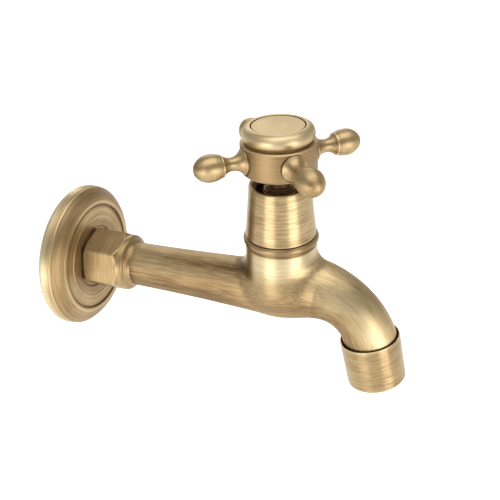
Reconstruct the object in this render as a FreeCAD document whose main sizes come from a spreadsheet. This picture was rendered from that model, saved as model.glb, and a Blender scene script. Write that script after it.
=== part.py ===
"""Garden tap with a cross handle, in antique brass.

Frame: origin on the wall plane at the centre of the inlet, +X out of the wall along the barrel, +Z up.
All sizes are in millimetres and are kept in one sheet. Every outline is tied to it by its formulas.
"""
import FreeCAD, Part
import math
import os
import re

import Sketcher

os.makedirs("parts", exist_ok=True)
doc = FreeCAD.newDocument("garden_tap")
Vec = FreeCAD.Vector

SIZES = [
    # inlet stub, hexagon and round collar, along +X from the wall
    ("inlet_r", 10.4775, "major radius of the G1/2 inlet thread"),
    ("inlet_end_x", -11.5, "free end of the inlet stub, inside the wall"),
    ("inlet_lead", 1.0, "chamfer at the free end"),
    ("thread_end_x", 0.5, "where the thread stops"),
    ("land_r", 10.3, "radius of the plain land that carries the wall flange"),
    ("slip_fit", 0.06, "radial clearance of the flange on its land"),
    ("inlet_bore_r", 6.0, "radius of the water way in the barrel"),
    ("hex_x", 10.8, "near end of the hexagon"),
    ("hex_length", 16.1, "length of the hexagon"),
    ("hex_af", 24.0, "across flats of the hexagon"),
    ("hex_turn", 20.0, "angle of the first corner from +Y"),
    ("hex_bevel", 1.3, "radial depth of the bevel on the corners"),
    ("collar_r", 12.4, "round collar after the hexagon, larger end"),
    ("collar_small_r", 12.3, "round collar, smaller end"),
    ("collar_length", 1.4, "length of the round collar"),
    ("shoulder_length", 3.2, "from the collar down to the barrel"),
    # spine of the barrel and the spout: straight, a slight rise, a wide bend and a tight drop
    ("barrel_x", 31.5, "start of the barrel"),
    ("barrel_r", 9.42, "radius of the barrel at its start"),
    ("barrel_bow", 0.76, "share of the barrel's growth that is quadratic"),
    ("rise_x", 89.34, "end of the straight spine"),
    ("rise_r", 11.25, "radius there"),
    ("rise_radius", 80.2, "radius of the rise"),
    ("rise_angle", 14.75, "slope at the end of the rise, in degrees"),
    ("crest_r", 12.29, "radius of the spout at the end of the rise"),
    ("bend_radius", 16.1, "radius of the wide bend"),
    ("bend_angle", 8.0, "fall at the end of the wide bend, in degrees"),
    ("bend_r", 12.15, "radius of the spout there"),
    ("drop_radius", 25.3, "radius of the tight bend"),
    ("spout_end_r", 11.3, "radius of the spout where it enters the outlet collar"),
    ("drop_slim", 1.2, "how much slimmer the spout is halfway down that bend"),
    ("spout_entry", 2.2, "how far the plain spout reaches into the collar"),
    ("outlet_tilt", 10.5, "lean of the outlet from the vertical, in degrees"),
    ("crest_x", "=rise_x + rise_radius * sin(rise_angle * 1 deg)", ""),
    ("crest_z", "=rise_radius * (1 - cos(rise_angle * 1 deg))", ""),
    ("drop_x", "=crest_x + bend_radius * (sin(bend_angle * 1 deg) + sin(rise_angle * 1 deg))", ""),
    ("drop_z", "=crest_z + bend_radius * (cos(bend_angle * 1 deg) - cos(rise_angle * 1 deg))", ""),
    ("outlet_x", "=drop_x + drop_radius * (cos(outlet_tilt * 1 deg) - sin(bend_angle * 1 deg))"
     " - spout_entry * sin(outlet_tilt * 1 deg)", ""),
    ("outlet_z", "=drop_z + drop_radius * (sin(outlet_tilt * 1 deg) - cos(bend_angle * 1 deg))"
     " + spout_entry * cos(outlet_tilt * 1 deg)", ""),
    # valve axis and the neck under the bonnet
    ("valve_x", 99.7, "distance of the valve axis from the wall"),
    ("belly_z", 8.0, "height of the belly's widest section"),
    ("belly_drop", 17.0, "from there down to the belly's lowest point"),
    ("neck_r", 14.3, "radius of the neck and of the belly"),
    ("neck_blend", 8.0, "fillet between the neck and the barrel"),
    ("bead_z", 25.3, "height of the bead's widest section"),
    ("bead_r", 15.1, "outer radius of the bead"),
    ("bead_round", 1.8, "section radius of the bead"),
    ("spigot_r", 12.6, "radius of the spigot that carries the bonnet"),
    ("spigot_z", 34.0, "top of the spigot"),
    # valve chamber
    ("chamber_r", 10.2, "radius of the valve chamber"),
    ("seat_z", 9.0, "height of the seat"),
    ("seat_port_r", 4.5, "radius of the port through the seat"),
    ("thread_z", 22.0, "lower end of the headwork thread"),
    ("headwork_thread_r", 10.45, "major radius of the headwork thread"),
    ("thread_fit", 0.06, "radial clearance in a screwed joint"),
    ("ring_seat_r", 11.2, "counterbore for the headwork's sealing ring"),
    ("ring_seat_depth", 1.7, "depth of that counterbore"),
    # water way from the chamber to the outlet: station, height and tilt below +X
    ("way_r", 3.6, "radius of the outlet water way at the chamber"),
    ("way_end_r", 6.6, "radius of the outlet water way at its end"),
    ("way_x_1", 106.5, ""), ("way_z_1", 17.0, ""), ("way_t_1", 60.0, ""),
    ("way_x_2", 110.9, ""), ("way_z_2", 11.4, ""), ("way_t_2", 52.0, ""),
    ("way_x_3", 115.9, ""), ("way_z_3", 6.5, ""), ("way_t_3", 43.0, ""),
    ("way_x_4", 121.6, ""), ("way_z_4", 2.2, ""), ("way_t_4", 37.0, ""),
    ("way_x_5", 127.6, ""), ("way_z_5", -2.4, ""), ("way_t_5", 42.0, ""),
    ("way_x_6", 132.9, ""), ("way_z_6", -8.2, ""), ("way_t_6", 55.0, ""),
    # outlet collar and aerator, measured down the outlet's axis from the collar's mouth
    ("outlet_thread_r", 10.4775, "major radius of the outlet thread"),
    ("outlet_thread_end", 12.0, "end of the outlet thread"),
    ("outlet_r", 12.3, "outer radius of the outlet collar at its mouth"),
    ("outlet_low_r", 12.05, "outer radius of the outlet collar at its lower end"),
    ("outlet_length", 20.2, "length of the outlet collar"),
    ("outlet_edge", 0.8, "rounding of its lower edge"),
    ("mouth_r", 11.8, "inner radius at the mouth"),
    ("mouth_depth", 3.0, "depth of the mouth"),
    ("aerator_bore_r", 10.4, "radius of the space for the aerator"),
    ("aerator_lip_r", 9.2, "opening in the lower lip"),
    ("aerator_lip", 1.4, "thickness of the lower lip"),
    ("aerator_fit", 0.2, "radial clearance around the aerator's pieces"),
    ("washer_bore_r", 7.2, "bore of the aerator washer"),
    ("washer_thick", 1.3, "thickness of the aerator washer"),
    ("screen_thick", 0.6, "thickness of the outlet screen"),
    ("insert_plate", 1.2, "thickness of the aerator insert's plate"),
    ("insert_wall", 1.5, "wall of the aerator insert"),
    ("insert_hole_r", 0.7, "radius of its holes"),
    ("screen_hole_r", 0.8, "radius of the screen's holes"),
    # wall flange
    ("flange_r", 31.5, "greatest radius of the wall flange"),
    ("flange_back_r", 28.7, "radius on the wall plane"),
    ("flange_roll_x", 2.6, "end of the rolled back edge"),
    ("flange_band_x", 5.7, "front of the rim's plain band"),
    ("flange_line", 0.35, "depth of the two lines after that band"),
    ("flange_step_x", 7.1, "front of the bead between the lines"),
    ("flange_crest_r", 26.0, "radius of the front crest"),
    ("flange_crest_x", 10.4, "height of the front crest"),
    ("flange_face_x", 10.7, "height of the flat face inside the crest"),
    ("flange_groove_r", 23.7, "radius of the groove in that face"),
    ("flange_groove", 0.5, "width and depth of that groove"),
    ("flange_disc_x", 10.35, "height of the turned disc inside the groove"),
    ("flange_ring_r", 18.6, "radius of the small ring on the disc"),
    ("flange_ring", 0.25, "height of that ring"),
    ("flange_seat_r", 13.7, "radius of the recess behind the hexagon"),
    ("flange_floor_x", 10.0, "height of the recess's floor"),
    ("flange_wall", 1.3, "thickness of the pressed shell"),
    # bonnet sleeve
    ("bonnet_z", 27.0, "lower edge of the bonnet sleeve"),
    ("bonnet_low_r", 14.1, "outer radius at the lower edge"),
    ("bonnet_top_z", 48.4, "top edge of the bonnet sleeve"),
    ("bonnet_top_r", 12.1, "outer radius at the top edge"),
    ("bonnet_lip", 0.5, "rounding of the top edge"),
    ("bonnet_bevel_r", 11.2, "outer radius of the bevel round the opening"),
    ("bonnet_bevel", 1.6, "depth of that bevel"),
    ("bonnet_hole_r", 9.5, "radius of the opening"),
    ("bonnet_roof_z", 44.8, "underside of the bonnet's roof"),
    ("bonnet_cavity_r", 11.1, "radius of the space over the headwork"),
    # headwork
    ("cage_z", 11.0, "lower end of the headwork's cage"),
    ("cage_r", 9.0, "outer radius of the cage"),
    ("cage_bore_r", 8.05, "bore of the cage"),
    ("stop_bore_r", 6.6, "bore at the stop"),
    ("stop_z", 21.8, "lower face of the stop"),
    ("cage_roof_z", 24.0, "roof of the cage"),
    ("ring_groove_z", 31.4, "upper end of the headwork thread"),
    ("ring_groove_r", 9.6, "seat of the sealing ring"),
    ("headwork_af", 18.0, "across flats of the headwork's hexagon"),
    ("headwork_hex_z", 40.5, "top of the headwork's hexagon"),
    ("headwork_neck_r", 6.5, "radius of the headwork's neck"),
    ("headwork_top_z", 46.0, "top of the headwork's neck"),
    ("spindle_bore_r", 4.06, "bore for the spindle"),
    ("window_low_z", 17.8, "lower edge of the cage's windows"),
    ("window_high_z", 21.4, "upper edge of the cage's windows"),
    ("window_half", 4.8, "half width of the cage's windows"),
    ("stop_from", -23.0, "start of the stop's free arc, in degrees"),
    ("stop_to", 113.0, "end of the stop's free arc, in degrees"),
    ("seal_bore_r", 4.8, "bore of the seat seal"),
    ("seal_r", 7.8, "outer radius of the seat seal"),
    # ceramic discs
    ("disc_r", 7.97, "radius of the ceramic discs"),
    ("disc_thick", 3.0, "thickness of each ceramic disc"),
    ("disc_gap", 0.04, "water film between the discs"),
    ("port_in_r", 2.4, "inner radius of the discs' ports"),
    ("port_out_r", 6.3, "outer radius of the discs' ports"),
    ("port_half", 34.0, "half angle of each port, in degrees"),
    ("slot_half", 1.5, "half width of the driving slot"),
    ("slot_depth", 1.2, "depth of the driving slot"),
    # spindle
    ("spindle_r", 4.0, "radius of the spindle"),
    ("driver_half", 1.4, "half thickness of the driving bar"),
    ("driver_length", 6.2, "half length of the driving bar"),
    ("driver_z", 19.4, "top of the driving bar"),
    ("thrust_r", 6.3, "radius of the thrust flange"),
    ("thrust_gap", 0.06, "play of the thrust flange"),
    ("lug_r", 7.75, "outer radius of the stop lug"),
    ("lug_half", 20.0, "half angle of the stop lug, in degrees"),
    ("oring_low_z", 27.0, "height of the lower spindle ring"),
    ("oring_high_z", 32.0, "height of the upper spindle ring"),
    ("oring_groove_r", 2.9, "radius of the ring grooves"),
    ("oring_groove", 1.4, "width of the ring grooves"),
    ("oring_section", 0.56, "section radius of the spindle rings"),
    ("slip_r", 6.2, "outer radius of the slip washer"),
    ("slip_thick", 0.8, "thickness of the slip washer"),
    ("slip_gap", 0.06, "play above and below the slip washer"),
    ("clip_groove_r", 3.4, "radius of the circlip groove"),
    ("clip_r", 5.4, "outer radius of the circlip"),
    ("clip_thick", 1.0, "thickness of the circlip"),
    ("spline_z", 52.0, "lower end of the spindle's splines"),
    ("spindle_top_z", 60.0, "top of the spindle"),
    ("spline_r", 0.35, "radius of the grooves between the splines"),
    ("tapped_r", 2.1, "tapped hole in the spindle"),
    ("tapped_depth", 8.0, "depth of the tapped hole"),
    # handle
    ("hub_r", 14.7, "radius of the handle hub"),
    ("hub_z", 54.2, "underside of the hub"),
    ("hub_top_z", "=hub_web_z + hub_web + hub_recess", "shoulder at the top of the hub"),
    ("hub_round", 1.1, "rounding of the hub's lower edge"),
    ("hub_lip", 0.45, "bevel of the hub's upper edge"),
    ("boss_r", 5.9, "radius of the boss under the hub"),
    ("boss_z", 50.0, "lower end of the boss"),
    ("boss_line_z", 51.9, "height of the turned line on the boss"),
    ("hub_bore_r", 4.08, "bore over the spindle"),
    ("web_gap", 0.3, "clearance between the spindle's top and the hub's web"),
    ("hub_web_z", "=spindle_top_z + web_gap", "underside of the web under the screw head"),
    ("hub_web", 1.2, "thickness of that web"),
    ("hub_hole_r", 2.75, "screw hole in the web"),
    ("hub_recess", 4.5, "depth of the recess for the screw head, below the shoulder"),
    ("hub_recess_r", 6.5, "radius of that recess"),
    ("hub_spigot_r", 12.4, "spigot under the cap ring"),
    ("hub_spigot", 0.35, "height of that spigot"),
    ("arm_turn", 43.4, "angle of the first arm from +X"),
    ("arm_z", 60.1, "height of the arms' axes"),
    ("socket_r", 5.4, "radius of the spot face under each arm"),
    ("socket_s", 13.5, "distance of the spot face from the valve axis"),
    ("arm_hole_r", 2.9, "radius of the tapped hole for each arm"),
    ("arm_hole_s", 8.0, "bottom of that hole"),
    ("arm_stud_r", 2.85, "radius of the stud on each arm"),
    ("arm_foot_r", 5.1, "radius of the arm's foot"),
    ("arm_foot_s", 14.7, "where the foot's edge ends"),
    ("arm_waist_r", 2.6, "radius of the arm's waist"),
    ("arm_waist_s", 19.2, "distance of the waist from the valve axis"),
    ("arm_cup_r", 4.2, "radius at the edge before the knob"),
    ("arm_cup_s", 23.0, "distance of that edge"),
    ("arm_line", 0.15, "height of the fine edge"),
    ("knob_tip_r", 4.4, "rounding of the knob's tip"),
    ("knob_r", 5.25, "radius of the knob"),
    ("knob_s", 27.7, "distance of the knob's widest section"),
    ("knob_tip_s", 34.0, "distance of the knob's tip"),
    # cap ring, index disc and screw
    ("cap_r", 13.9, "outer radius of the cap ring"),
    ("cap_rise", 3.2, "its widest section above the hub's shoulder"),
    ("cap_mid_z", "=hub_top_z + cap_rise", "height of its widest section"),
    ("cap_foot_r", 12.6, "radius of its lower edge"),
    ("cap_round", 3.0, "rounding of its upper edge"),
    ("cap_plug_r", 6.45, "radius of the plug in the hub"),
    ("cap_plug", 0.7, "depth of that plug"),
    ("cap_recess_r", 10.5, "recess for the index disc"),
    ("cap_recess", 1.9, "depth of that recess"),
    ("cap_recess_z", "=cap_mid_z + cap_round - cap_recess", "floor of that recess"),
    ("index_r", 10.15, "radius of the index disc"),
    ("index_thick", 1.65, "thickness of the index disc"),
    ("index_z", "=cap_recess_z + index_thick", "top of the index disc"),
    ("index_edge", 0.15, "bevel of the index disc"),
    ("screw_r", 2.05, "radius of the screw's shank"),
    ("screw_gap", 1.0, "clearance under the screw's tip in the tapped hole"),
    ("screw_tip_z", "=spindle_top_z - tapped_depth + screw_gap", "tip of the screw"),
    ("screw_head_r", 4.25, "radius of the screw's head"),
    ("screw_head", 2.8, "height of the screw's head"),
    ("screw_key_af", 3.0, "across flats of the key socket"),
    ("screw_key_depth", 1.7, "depth of the key socket"),
    ("spring_washer_r", 4.4, "outer radius of the spring washer"),
    ("spring_washer", 1.0, "thickness of the spring washer"),
]
NAMES = [row[0] for row in SIZES]

sheet = doc.addObject("Spreadsheet::Sheet", "sizes")
for line, (alias, number, note) in enumerate(SIZES, start=1):
    sheet.set("A%d" % line, alias)
    sheet.set("B%d" % line, str(number))
    sheet.setAlias("B%d" % line, alias)
    if note:
        sheet.set("C%d" % line, note)
doc.recompute()


def bound(formula):
    """A formula over the sizes as the document writes it."""
    return re.sub(r"[a-z][a-z_0-9]*", lambda word: "sizes." + word[0] if word[0] in NAMES else word[0], formula)


def size(formula):
    """The number that a formula gives at the sheet's present sizes."""
    return float(sheet.evalExpression(bound(formula)))


def new_body(name):
    item = doc.addObject("PartDesign::Body", name)
    item.Label = name
    return item


def sketch_on(item, role, name, x="0", y="0", out="0", turn="0", axis=Vec(0, 0, 1)):
    """A sketch on one of the body's own origin planes, shifted and turned by formulas."""
    plane = [part for part in item.Origin.OriginFeatures if part.Role == role][0]
    sketch = doc.addObject("Sketcher::SketchObject", name)
    item.addObject(sketch)
    sketch.AttachmentSupport = [(plane, "")]
    sketch.MapMode = "FlatFace"
    offset = FreeCAD.Placement(Vec(size(x), size(y), size(out)), FreeCAD.Rotation(axis, size(turn)))
    sketch.AttachmentOffset = offset
    for part, formula in (("Base.x", x), ("Base.y", y), ("Base.z", out)):
        if formula != "0":
            sketch.setExpression("AttachmentOffset." + part, bound(formula))
    if turn != "0":
        sketch.setExpression("AttachmentOffset.Rotation.Angle", bound("(" + turn + ") * 1 deg"))
    return sketch


def tie(sketch, constraint, formula):
    """Add a dimension and bind it to a formula."""
    number = sketch.addConstraint(constraint)
    sketch.setExpression("Constraints[%d]" % number, bound(formula))


def arc_through(start, end, radius, side):
    """The shorter arc between two points. side 1 has its centre left of the way from start to end."""
    middle, chord = (start + end) * 0.5, end - start
    height = math.sqrt(radius ** 2 - (chord.Length / 2) ** 2)
    normal = Vec(-chord.y, chord.x, 0).normalize()
    centre = middle + normal * (height * side)
    first, last = (start, end) if side > 0 else (end, start)
    angles = [math.atan2(point.y - centre.y, point.x - centre.x) for point in (first, last)]
    return Part.ArcOfCircle(Part.Circle(centre, Vec(0, 0, 1), radius), angles[0], angles[1])


def outline(sketch, corners):
    """A closed outline through corners given by formulas.

    Each corner is (x, y), or (x, y, radius, side) when an arc leads to it from the corner before.
    """
    points = [Vec(size(corner[0]), size(corner[1]), 0) for corner in corners]
    count = len(corners)
    ends = []
    for index in range(count):
        start, end, corner = points[index - 1], points[index], corners[index]
        if len(corner) == 2:
            edge = sketch.addGeometry(Part.LineSegment(start, end))
            ends.append((edge, 1, 2))
        else:
            edge = sketch.addGeometry(arc_through(start, end, size(corner[2]), corner[3]))
            ends.append((edge, 1, 2) if corner[3] > 0 else (edge, 2, 1))
    for index in range(count):
        edge, first, last = ends[index]
        after = ends[(index + 1) % count]
        sketch.addConstraint(Sketcher.Constraint("Coincident", edge, last, after[0], after[1]))
        for kind, formula, number, rail in (("DistanceX", corners[index][0], points[index].x, -2),
                                            ("DistanceY", corners[index][1], points[index].y, -1)):
            if formula == "0":
                sketch.addConstraint(Sketcher.Constraint("PointOnObject", edge, last, rail))
            else:
                tie(sketch, Sketcher.Constraint(kind, -1, 1, edge, last, number), formula)
        if len(corners[index]) > 2:
            radius = corners[index][2]
            tie(sketch, Sketcher.Constraint("Radius", edge, size(radius)), radius)


def disc_outline(sketch, radius, x="0", y="0"):
    """A circle of a given radius round a given point."""
    centre = Vec(size(x), size(y), 0)
    ring = sketch.addGeometry(Part.Circle(centre, Vec(0, 0, 1), size(radius)))
    if x == "0" and y == "0":
        sketch.addConstraint(Sketcher.Constraint("Coincident", ring, 3, -1, 1))
    else:
        tie(sketch, Sketcher.Constraint("DistanceX", -1, 1, ring, 3, centre.x), x)
        tie(sketch, Sketcher.Constraint("DistanceY", -1, 1, ring, 3, centre.y), y)
    tie(sketch, Sketcher.Constraint("Radius", ring, size(radius)), radius)


def polar(radius, angle):
    """The two coordinates of a point at a radius and an angle in degrees, as formulas."""
    return "(%s) * cos((%s) * 1 deg)" % (radius, angle), "(%s) * sin((%s) * 1 deg)" % (radius, angle)


def hexagon(sketch, across, turn="0"):
    """A hexagon of a given size across its flats round the sketch's origin."""
    outline(sketch, [polar("(%s) / sqrt(3)" % across, "%s + %d" % (turn, 60 * step)) for step in range(6)])


def sector(sketch, inner, outer, start, stop):
    """A piece of a ring between two angles of less than half a turn each side."""
    middle = "((%s) + (%s)) / 2" % (start, stop)
    first, last = polar(inner, stop), polar(outer, start)
    corners = [polar(inner, start), last,
               polar(outer, middle) + (outer, 1), polar(outer, stop) + (outer, 1), first,
               polar(inner, middle) + (inner, -1)]
    corners[0] = corners[0] + (inner, -1)
    outline(sketch, corners)


def feature(item, kind, name, **settings):
    """Add a feature to the body and rebuild."""
    made = doc.addObject("PartDesign::" + kind, name)
    item.addObject(made)
    for key, setting in settings.items():
        setattr(made, key, setting)
    doc.recompute()
    return made


def bind(made, prop, formula):
    made.setExpression(prop, bound(formula))
    doc.recompute()


def turned(item, name, corners, axis="V_Axis", kind="Revolution", **where):
    """Turn an outline round the sketch's own axis, as added or removed metal."""
    sketch = sketch_on(item, "XZ_Plane", name + "_outline", **where)
    outline(sketch, corners)
    sketch.Visibility = False
    return feature(item, kind, name, Profile=sketch, ReferenceAxis=(sketch, [axis]))


def set_on_valve_axis(item):
    item.Placement.Base = Vec(size("valve_x"), 0, 0)
    item.setExpression("Placement.Base.x", bound("valve_x"))


def set_on_outlet(item):
    """Put a body on the leaning outlet axis, its own z = 0 at the collar's mouth."""
    item.Placement = FreeCAD.Placement(Vec(size("outlet_x"), 0, size("outlet_z")),
                                       FreeCAD.Rotation(Vec(0, -1, 0), size("outlet_tilt")))
    item.setExpression("Placement.Base.x", bound("outlet_x"))
    item.setExpression("Placement.Base.z", bound("outlet_z"))
    item.setExpression("Placement.Rotation.Angle", bound("outlet_tilt * 1 deg"))


def section(item, name, x, z, tilt, radius):
    """A round section on a leaning plane of the XZ plane's spine."""
    sketch = sketch_on(item, "YZ_Plane", name, y=z, out=x, turn=tilt, axis=Vec(1, 0, 0))
    disc_outline(sketch, radius)
    sketch.Visibility = False
    return sketch


def along_outlet(distance):
    """Station and height of a point down the outlet's axis."""
    return ("outlet_x + (%s) * sin(outlet_tilt * 1 deg)" % distance,
            "outlet_z - (%s) * cos(outlet_tilt * 1 deg)" % distance)


def spine_stations():
    """Stations of the spine at nearly even steps: station, height, tilt below +X and radius."""
    rows = []
    for step in range(10):
        part = step / 10
        growth = "(%.3f * (1 - barrel_bow) + %.3f * barrel_bow)" % (part, part * part)
        rows.append(("barrel_x + (rise_x - barrel_x) * %.1f" % part, "0", "0",
                     "barrel_r + (rise_r - barrel_r) * " + growth))
    for step in range(4):
        part = step / 4
        lift = "rise_angle * %.2f" % part
        rows.append(("rise_x + rise_radius * sin(%s * 1 deg)" % lift, "rise_radius * (1 - cos(%s * 1 deg))" % lift,
                     "-" + lift, "rise_r + (crest_r - rise_r) * %.4f" % (2 * part - part * part)))
    rows.append(("crest_x", "crest_z", "-rise_angle", "crest_r"))
    for step in range(7):
        part = step / 6
        fall = "((90 - outlet_tilt) * %.4f + bend_angle * %.4f)" % (part, 1 - part)
        rows.append(("drop_x + drop_radius * (sin(%s * 1 deg) - sin(bend_angle * 1 deg))" % fall,
                     "drop_z + drop_radius * (cos(%s * 1 deg) - cos(bend_angle * 1 deg))" % fall,
                     fall, "bend_r + (spout_end_r - bend_r) * %.4f - drop_slim * %.4f" % (part, 4 * part * (1 - part))))
    rows.append(along_outlet("3 * spout_entry") + ("90 - outlet_tilt", "spout_end_r"))
    return rows


def spout_loft(item):
    """Barrel and spout as one skin through round sections."""
    sections = []
    for number, (x, z, tilt, radius) in enumerate(spine_stations(), start=1):
        sections.append(section(item, "barrel_section_%d" % number, x, z, tilt, radius))
    return feature(item, "AdditiveLoft", "barrel_and_spout", Profile=sections[0], Sections=sections[1:])


def neck_edges(shape):
    """Names of the edges where the neck and the belly meet the barrel and the spout."""
    found = []
    axis_x, radius = size("valve_x"), size("neck_r")
    drop, low = size("belly_drop"), size("belly_z")
    for number, edge in enumerate(shape.Edges, start=1):
        span = edge.LastParameter - edge.FirstParameter
        points = [edge.valueAt(edge.FirstParameter + span * step / 6) for step in range(1, 6)]
        off = []
        for point in points:
            away = math.hypot(point.x - axis_x, point.y)
            height = min(point.z - low, 0.0)
            off.append(abs(math.hypot(away / radius, height / drop) - 1))
        level = max(point.z for point in points)
        flat = max(abs(point.z - points[0].z) for point in points) < 1e-3
        upright = max(math.hypot(point.x - points[0].x, point.y - points[0].y) for point in points) < 1e-3
        if max(off) < 1e-3 and level < size("bead_z") - 6 and not flat and not upright:
            found.append("Edge%d" % number)
    return found


def build_tap_body():
    """Cast body: inlet stub, hexagon, barrel, belly, neck and spout, with its water ways."""
    item = new_body("tap_body")
    spout_loft(item)
    neck_where = dict(x="valve_x")
    waist = "bead_z - 3"
    # belly and neck as a dome on a cylinder, blended into the barrel
    sketch = sketch_on(item, "XZ_Plane", "neck_outline", **neck_where)
    low, high = Vec(0, size("belly_z - belly_drop"), 0), Vec(size("neck_r"), size("belly_z"), 0)
    top = Vec(size("neck_r"), size(waist), 0)
    axis_top = Vec(0, size(waist), 0)
    dome = Part.Ellipse(low, high, Vec(0, size("belly_z"), 0))
    sketch.addGeometry(Part.ArcOfEllipse(dome, 0, math.pi / 2))
    arc = sketch.Geometry[0]
    dome_first = (arc.StartPoint - low).Length < (arc.EndPoint - low).Length
    low_end, high_end = (1, 2) if dome_first else (2, 1)
    sketch.addGeometry([Part.LineSegment(high, top), Part.LineSegment(top, axis_top),
                        Part.LineSegment(axis_top, low)])
    join = Sketcher.Constraint
    sketch.addConstraint([join("Coincident", 0, high_end, 1, 1), join("Coincident", 1, 2, 2, 1),
                          join("Coincident", 2, 2, 3, 1), join("Coincident", 3, 2, 0, low_end),
                          join("PointOnObject", 3, 1, -2), join("PointOnObject", 3, 2, -2),
                          join("PointOnObject", 0, 3, -2), join("Horizontal", 2), join("Vertical", 1)])
    tie(sketch, join("DistanceX", -1, 1, 1, 1, high.x), "neck_r")
    tie(sketch, join("DistanceY", -1, 1, 1, 1, high.y), "belly_z")
    tie(sketch, join("DistanceY", -1, 1, 0, 3, high.y), "belly_z")
    tie(sketch, join("DistanceY", -1, 1, 1, 2, top.y), waist)
    tie(sketch, join("DistanceY", -1, 1, 3, 2, low.y), "belly_z - belly_drop")
    neck = feature(item, "Revolution", "neck", Profile=sketch, ReferenceAxis=(sketch, ["V_Axis"]))
    blend = feature(item, "Fillet", "neck_blend_fillet", Base=(neck, neck_edges(neck.Shape)),
                    Radius=size("neck_blend"))
    bind(blend, "Radius", "neck_blend")

    # bead and the spigot for the bonnet
    spigot_z = "bead_z + bead_round * 0.8"
    bead_in = "bead_r - bead_round"
    turned(item, "bead_and_spigot", [
        ("0", "bead_z - 5"), ("neck_r", "bead_z - 5"), ("neck_r", "bead_z - 2.6"),
        (bead_in + " + 0.6", "bead_z - sqrt(bead_round ^ 2 - 0.36)", "1.2", -1),
        ("bead_r", "bead_z", "bead_round", 1),
        (bead_in + " + bead_round * 0.6", spigot_z, "bead_round", 1),
        ("spigot_r", spigot_z), ("spigot_r", "spigot_z - 0.6"), ("spigot_r - 0.6", "spigot_z"), ("0", "spigot_z"),
    ], **neck_where)

    # inlet stub, relief, core of the hexagon, round collar and its shoulder
    collar_x = "hex_x + hex_length"
    shoulder_x = collar_x + " + collar_length"
    end_x = shoulder_x + " + shoulder_length"
    turned(item, "inlet_and_collar", [
        ("inlet_end_x", "0"), ("inlet_end_x", "inlet_r - inlet_lead"), ("inlet_end_x + inlet_lead", "inlet_r"),
        ("thread_end_x", "inlet_r"), ("thread_end_x", "land_r"), ("hex_x", "land_r"), ("hex_x", "hex_af / 2 - 0.3"),
        (collar_x, "hex_af / 2 - 0.3"), (collar_x, "collar_r"), (shoulder_x, "collar_small_r"),
        (shoulder_x + " + 1.6", "collar_small_r - 1.6", "1.9", -1),
        (end_x + " + 1", "barrel_r - 0.02", "3.2", 1), (end_x + " + 3", "barrel_r - 0.4"), (end_x + " + 3", "0"),
    ], axis="H_Axis")
    sketch = sketch_on(item, "YZ_Plane", "hexagon_outline", out="hex_x")
    hexagon(sketch, "hex_af", "hex_turn")
    pad = feature(item, "Pad", "hexagon", Profile=sketch, Length=size("hex_length"))
    bind(pad, "Length", "hex_length")
    corner = "hex_af / sqrt(3)"
    turned(item, "hexagon_near_bevel", [
        ("hex_x - 0.5", corner + " - hex_bevel - 0.85"), ("hex_x + hex_bevel * 0.6", corner + " + 0.05"),
        ("hex_x + hex_bevel * 0.6", corner + " + 1"), ("hex_x - 0.5", corner + " + 1"),
    ], axis="H_Axis", kind="Groove")
    turned(item, "hexagon_far_bevel", [
        (collar_x + " - hex_bevel", corner + " + 0.05"), (collar_x, "hex_af / 2 + 0.1"),
        (collar_x, corner + " + 1"), (collar_x + " - hex_bevel", corner + " + 1"),
    ], axis="H_Axis", kind="Groove")

    # outlet thread at the spout's end
    turned(item, "spout_end_trim", [
        ("outlet_thread_r - 1", "-spout_entry"), ("spout_end_r + 1", "-spout_entry"),
        ("spout_end_r + 1", "-3 * spout_entry"), ("outlet_thread_r - 1", "-3 * spout_entry"),
    ], kind="Groove", x="outlet_x", y="outlet_z", turn="outlet_tilt")
    turned(item, "outlet_thread", [
        ("0", "-spout_entry + 1"), ("outlet_thread_r", "-spout_entry + 1"),
        ("outlet_thread_r", "-outlet_thread_end + 0.6"), ("outlet_thread_r - 0.6", "-outlet_thread_end"),
        ("0", "-outlet_thread_end"),
    ], x="outlet_x", y="outlet_z", turn="outlet_tilt")

    # water way in, valve chamber with its seat, and water way out
    bore_end = "valve_x + 3.6"
    turned(item, "inlet_bore", [
        ("inlet_end_x - 1", "0"), ("inlet_end_x - 1", "inlet_bore_r"), (bore_end + " - 2", "inlet_bore_r"),
        (bore_end, "inlet_bore_r - 2"), (bore_end, "0"),
    ], axis="H_Axis", kind="Groove")
    thread_bore = "headwork_thread_r + thread_fit"
    turned(item, "valve_chamber", [
        ("0", "1"), ("seat_port_r", "1"), ("seat_port_r", "seat_z"), ("chamber_r", "seat_z"),
        ("chamber_r", "thread_z - 0.6"), (thread_bore, "thread_z - 0.6"),
        (thread_bore, "spigot_z - ring_seat_depth"), ("ring_seat_r", "spigot_z - ring_seat_depth"),
        ("ring_seat_r", "spigot_z + 1"), ("0", "spigot_z + 1"),
    ], kind="Groove", **neck_where)
    rows = [("way_x_%d" % number, "way_z_%d" % number, "way_t_%d" % number) for number in range(1, 7)]
    for distance in ("0.5", "outlet_thread_end / 2 + 0.5", "outlet_thread_end + 1"):
        rows.append(along_outlet(distance) + ("90 - outlet_tilt",))
    sections = []
    for step, (x, z, tilt) in enumerate(rows):
        growth = "way_r + (way_end_r - way_r) * %.3f" % (step / (len(rows) - 1))
        sections.append(section(item, "way_section_%d" % (step + 1), x, z, tilt, growth))
    feature(item, "SubtractiveLoft", "outlet_way", Profile=sections[0], Sections=sections[1:])
    return item


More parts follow.
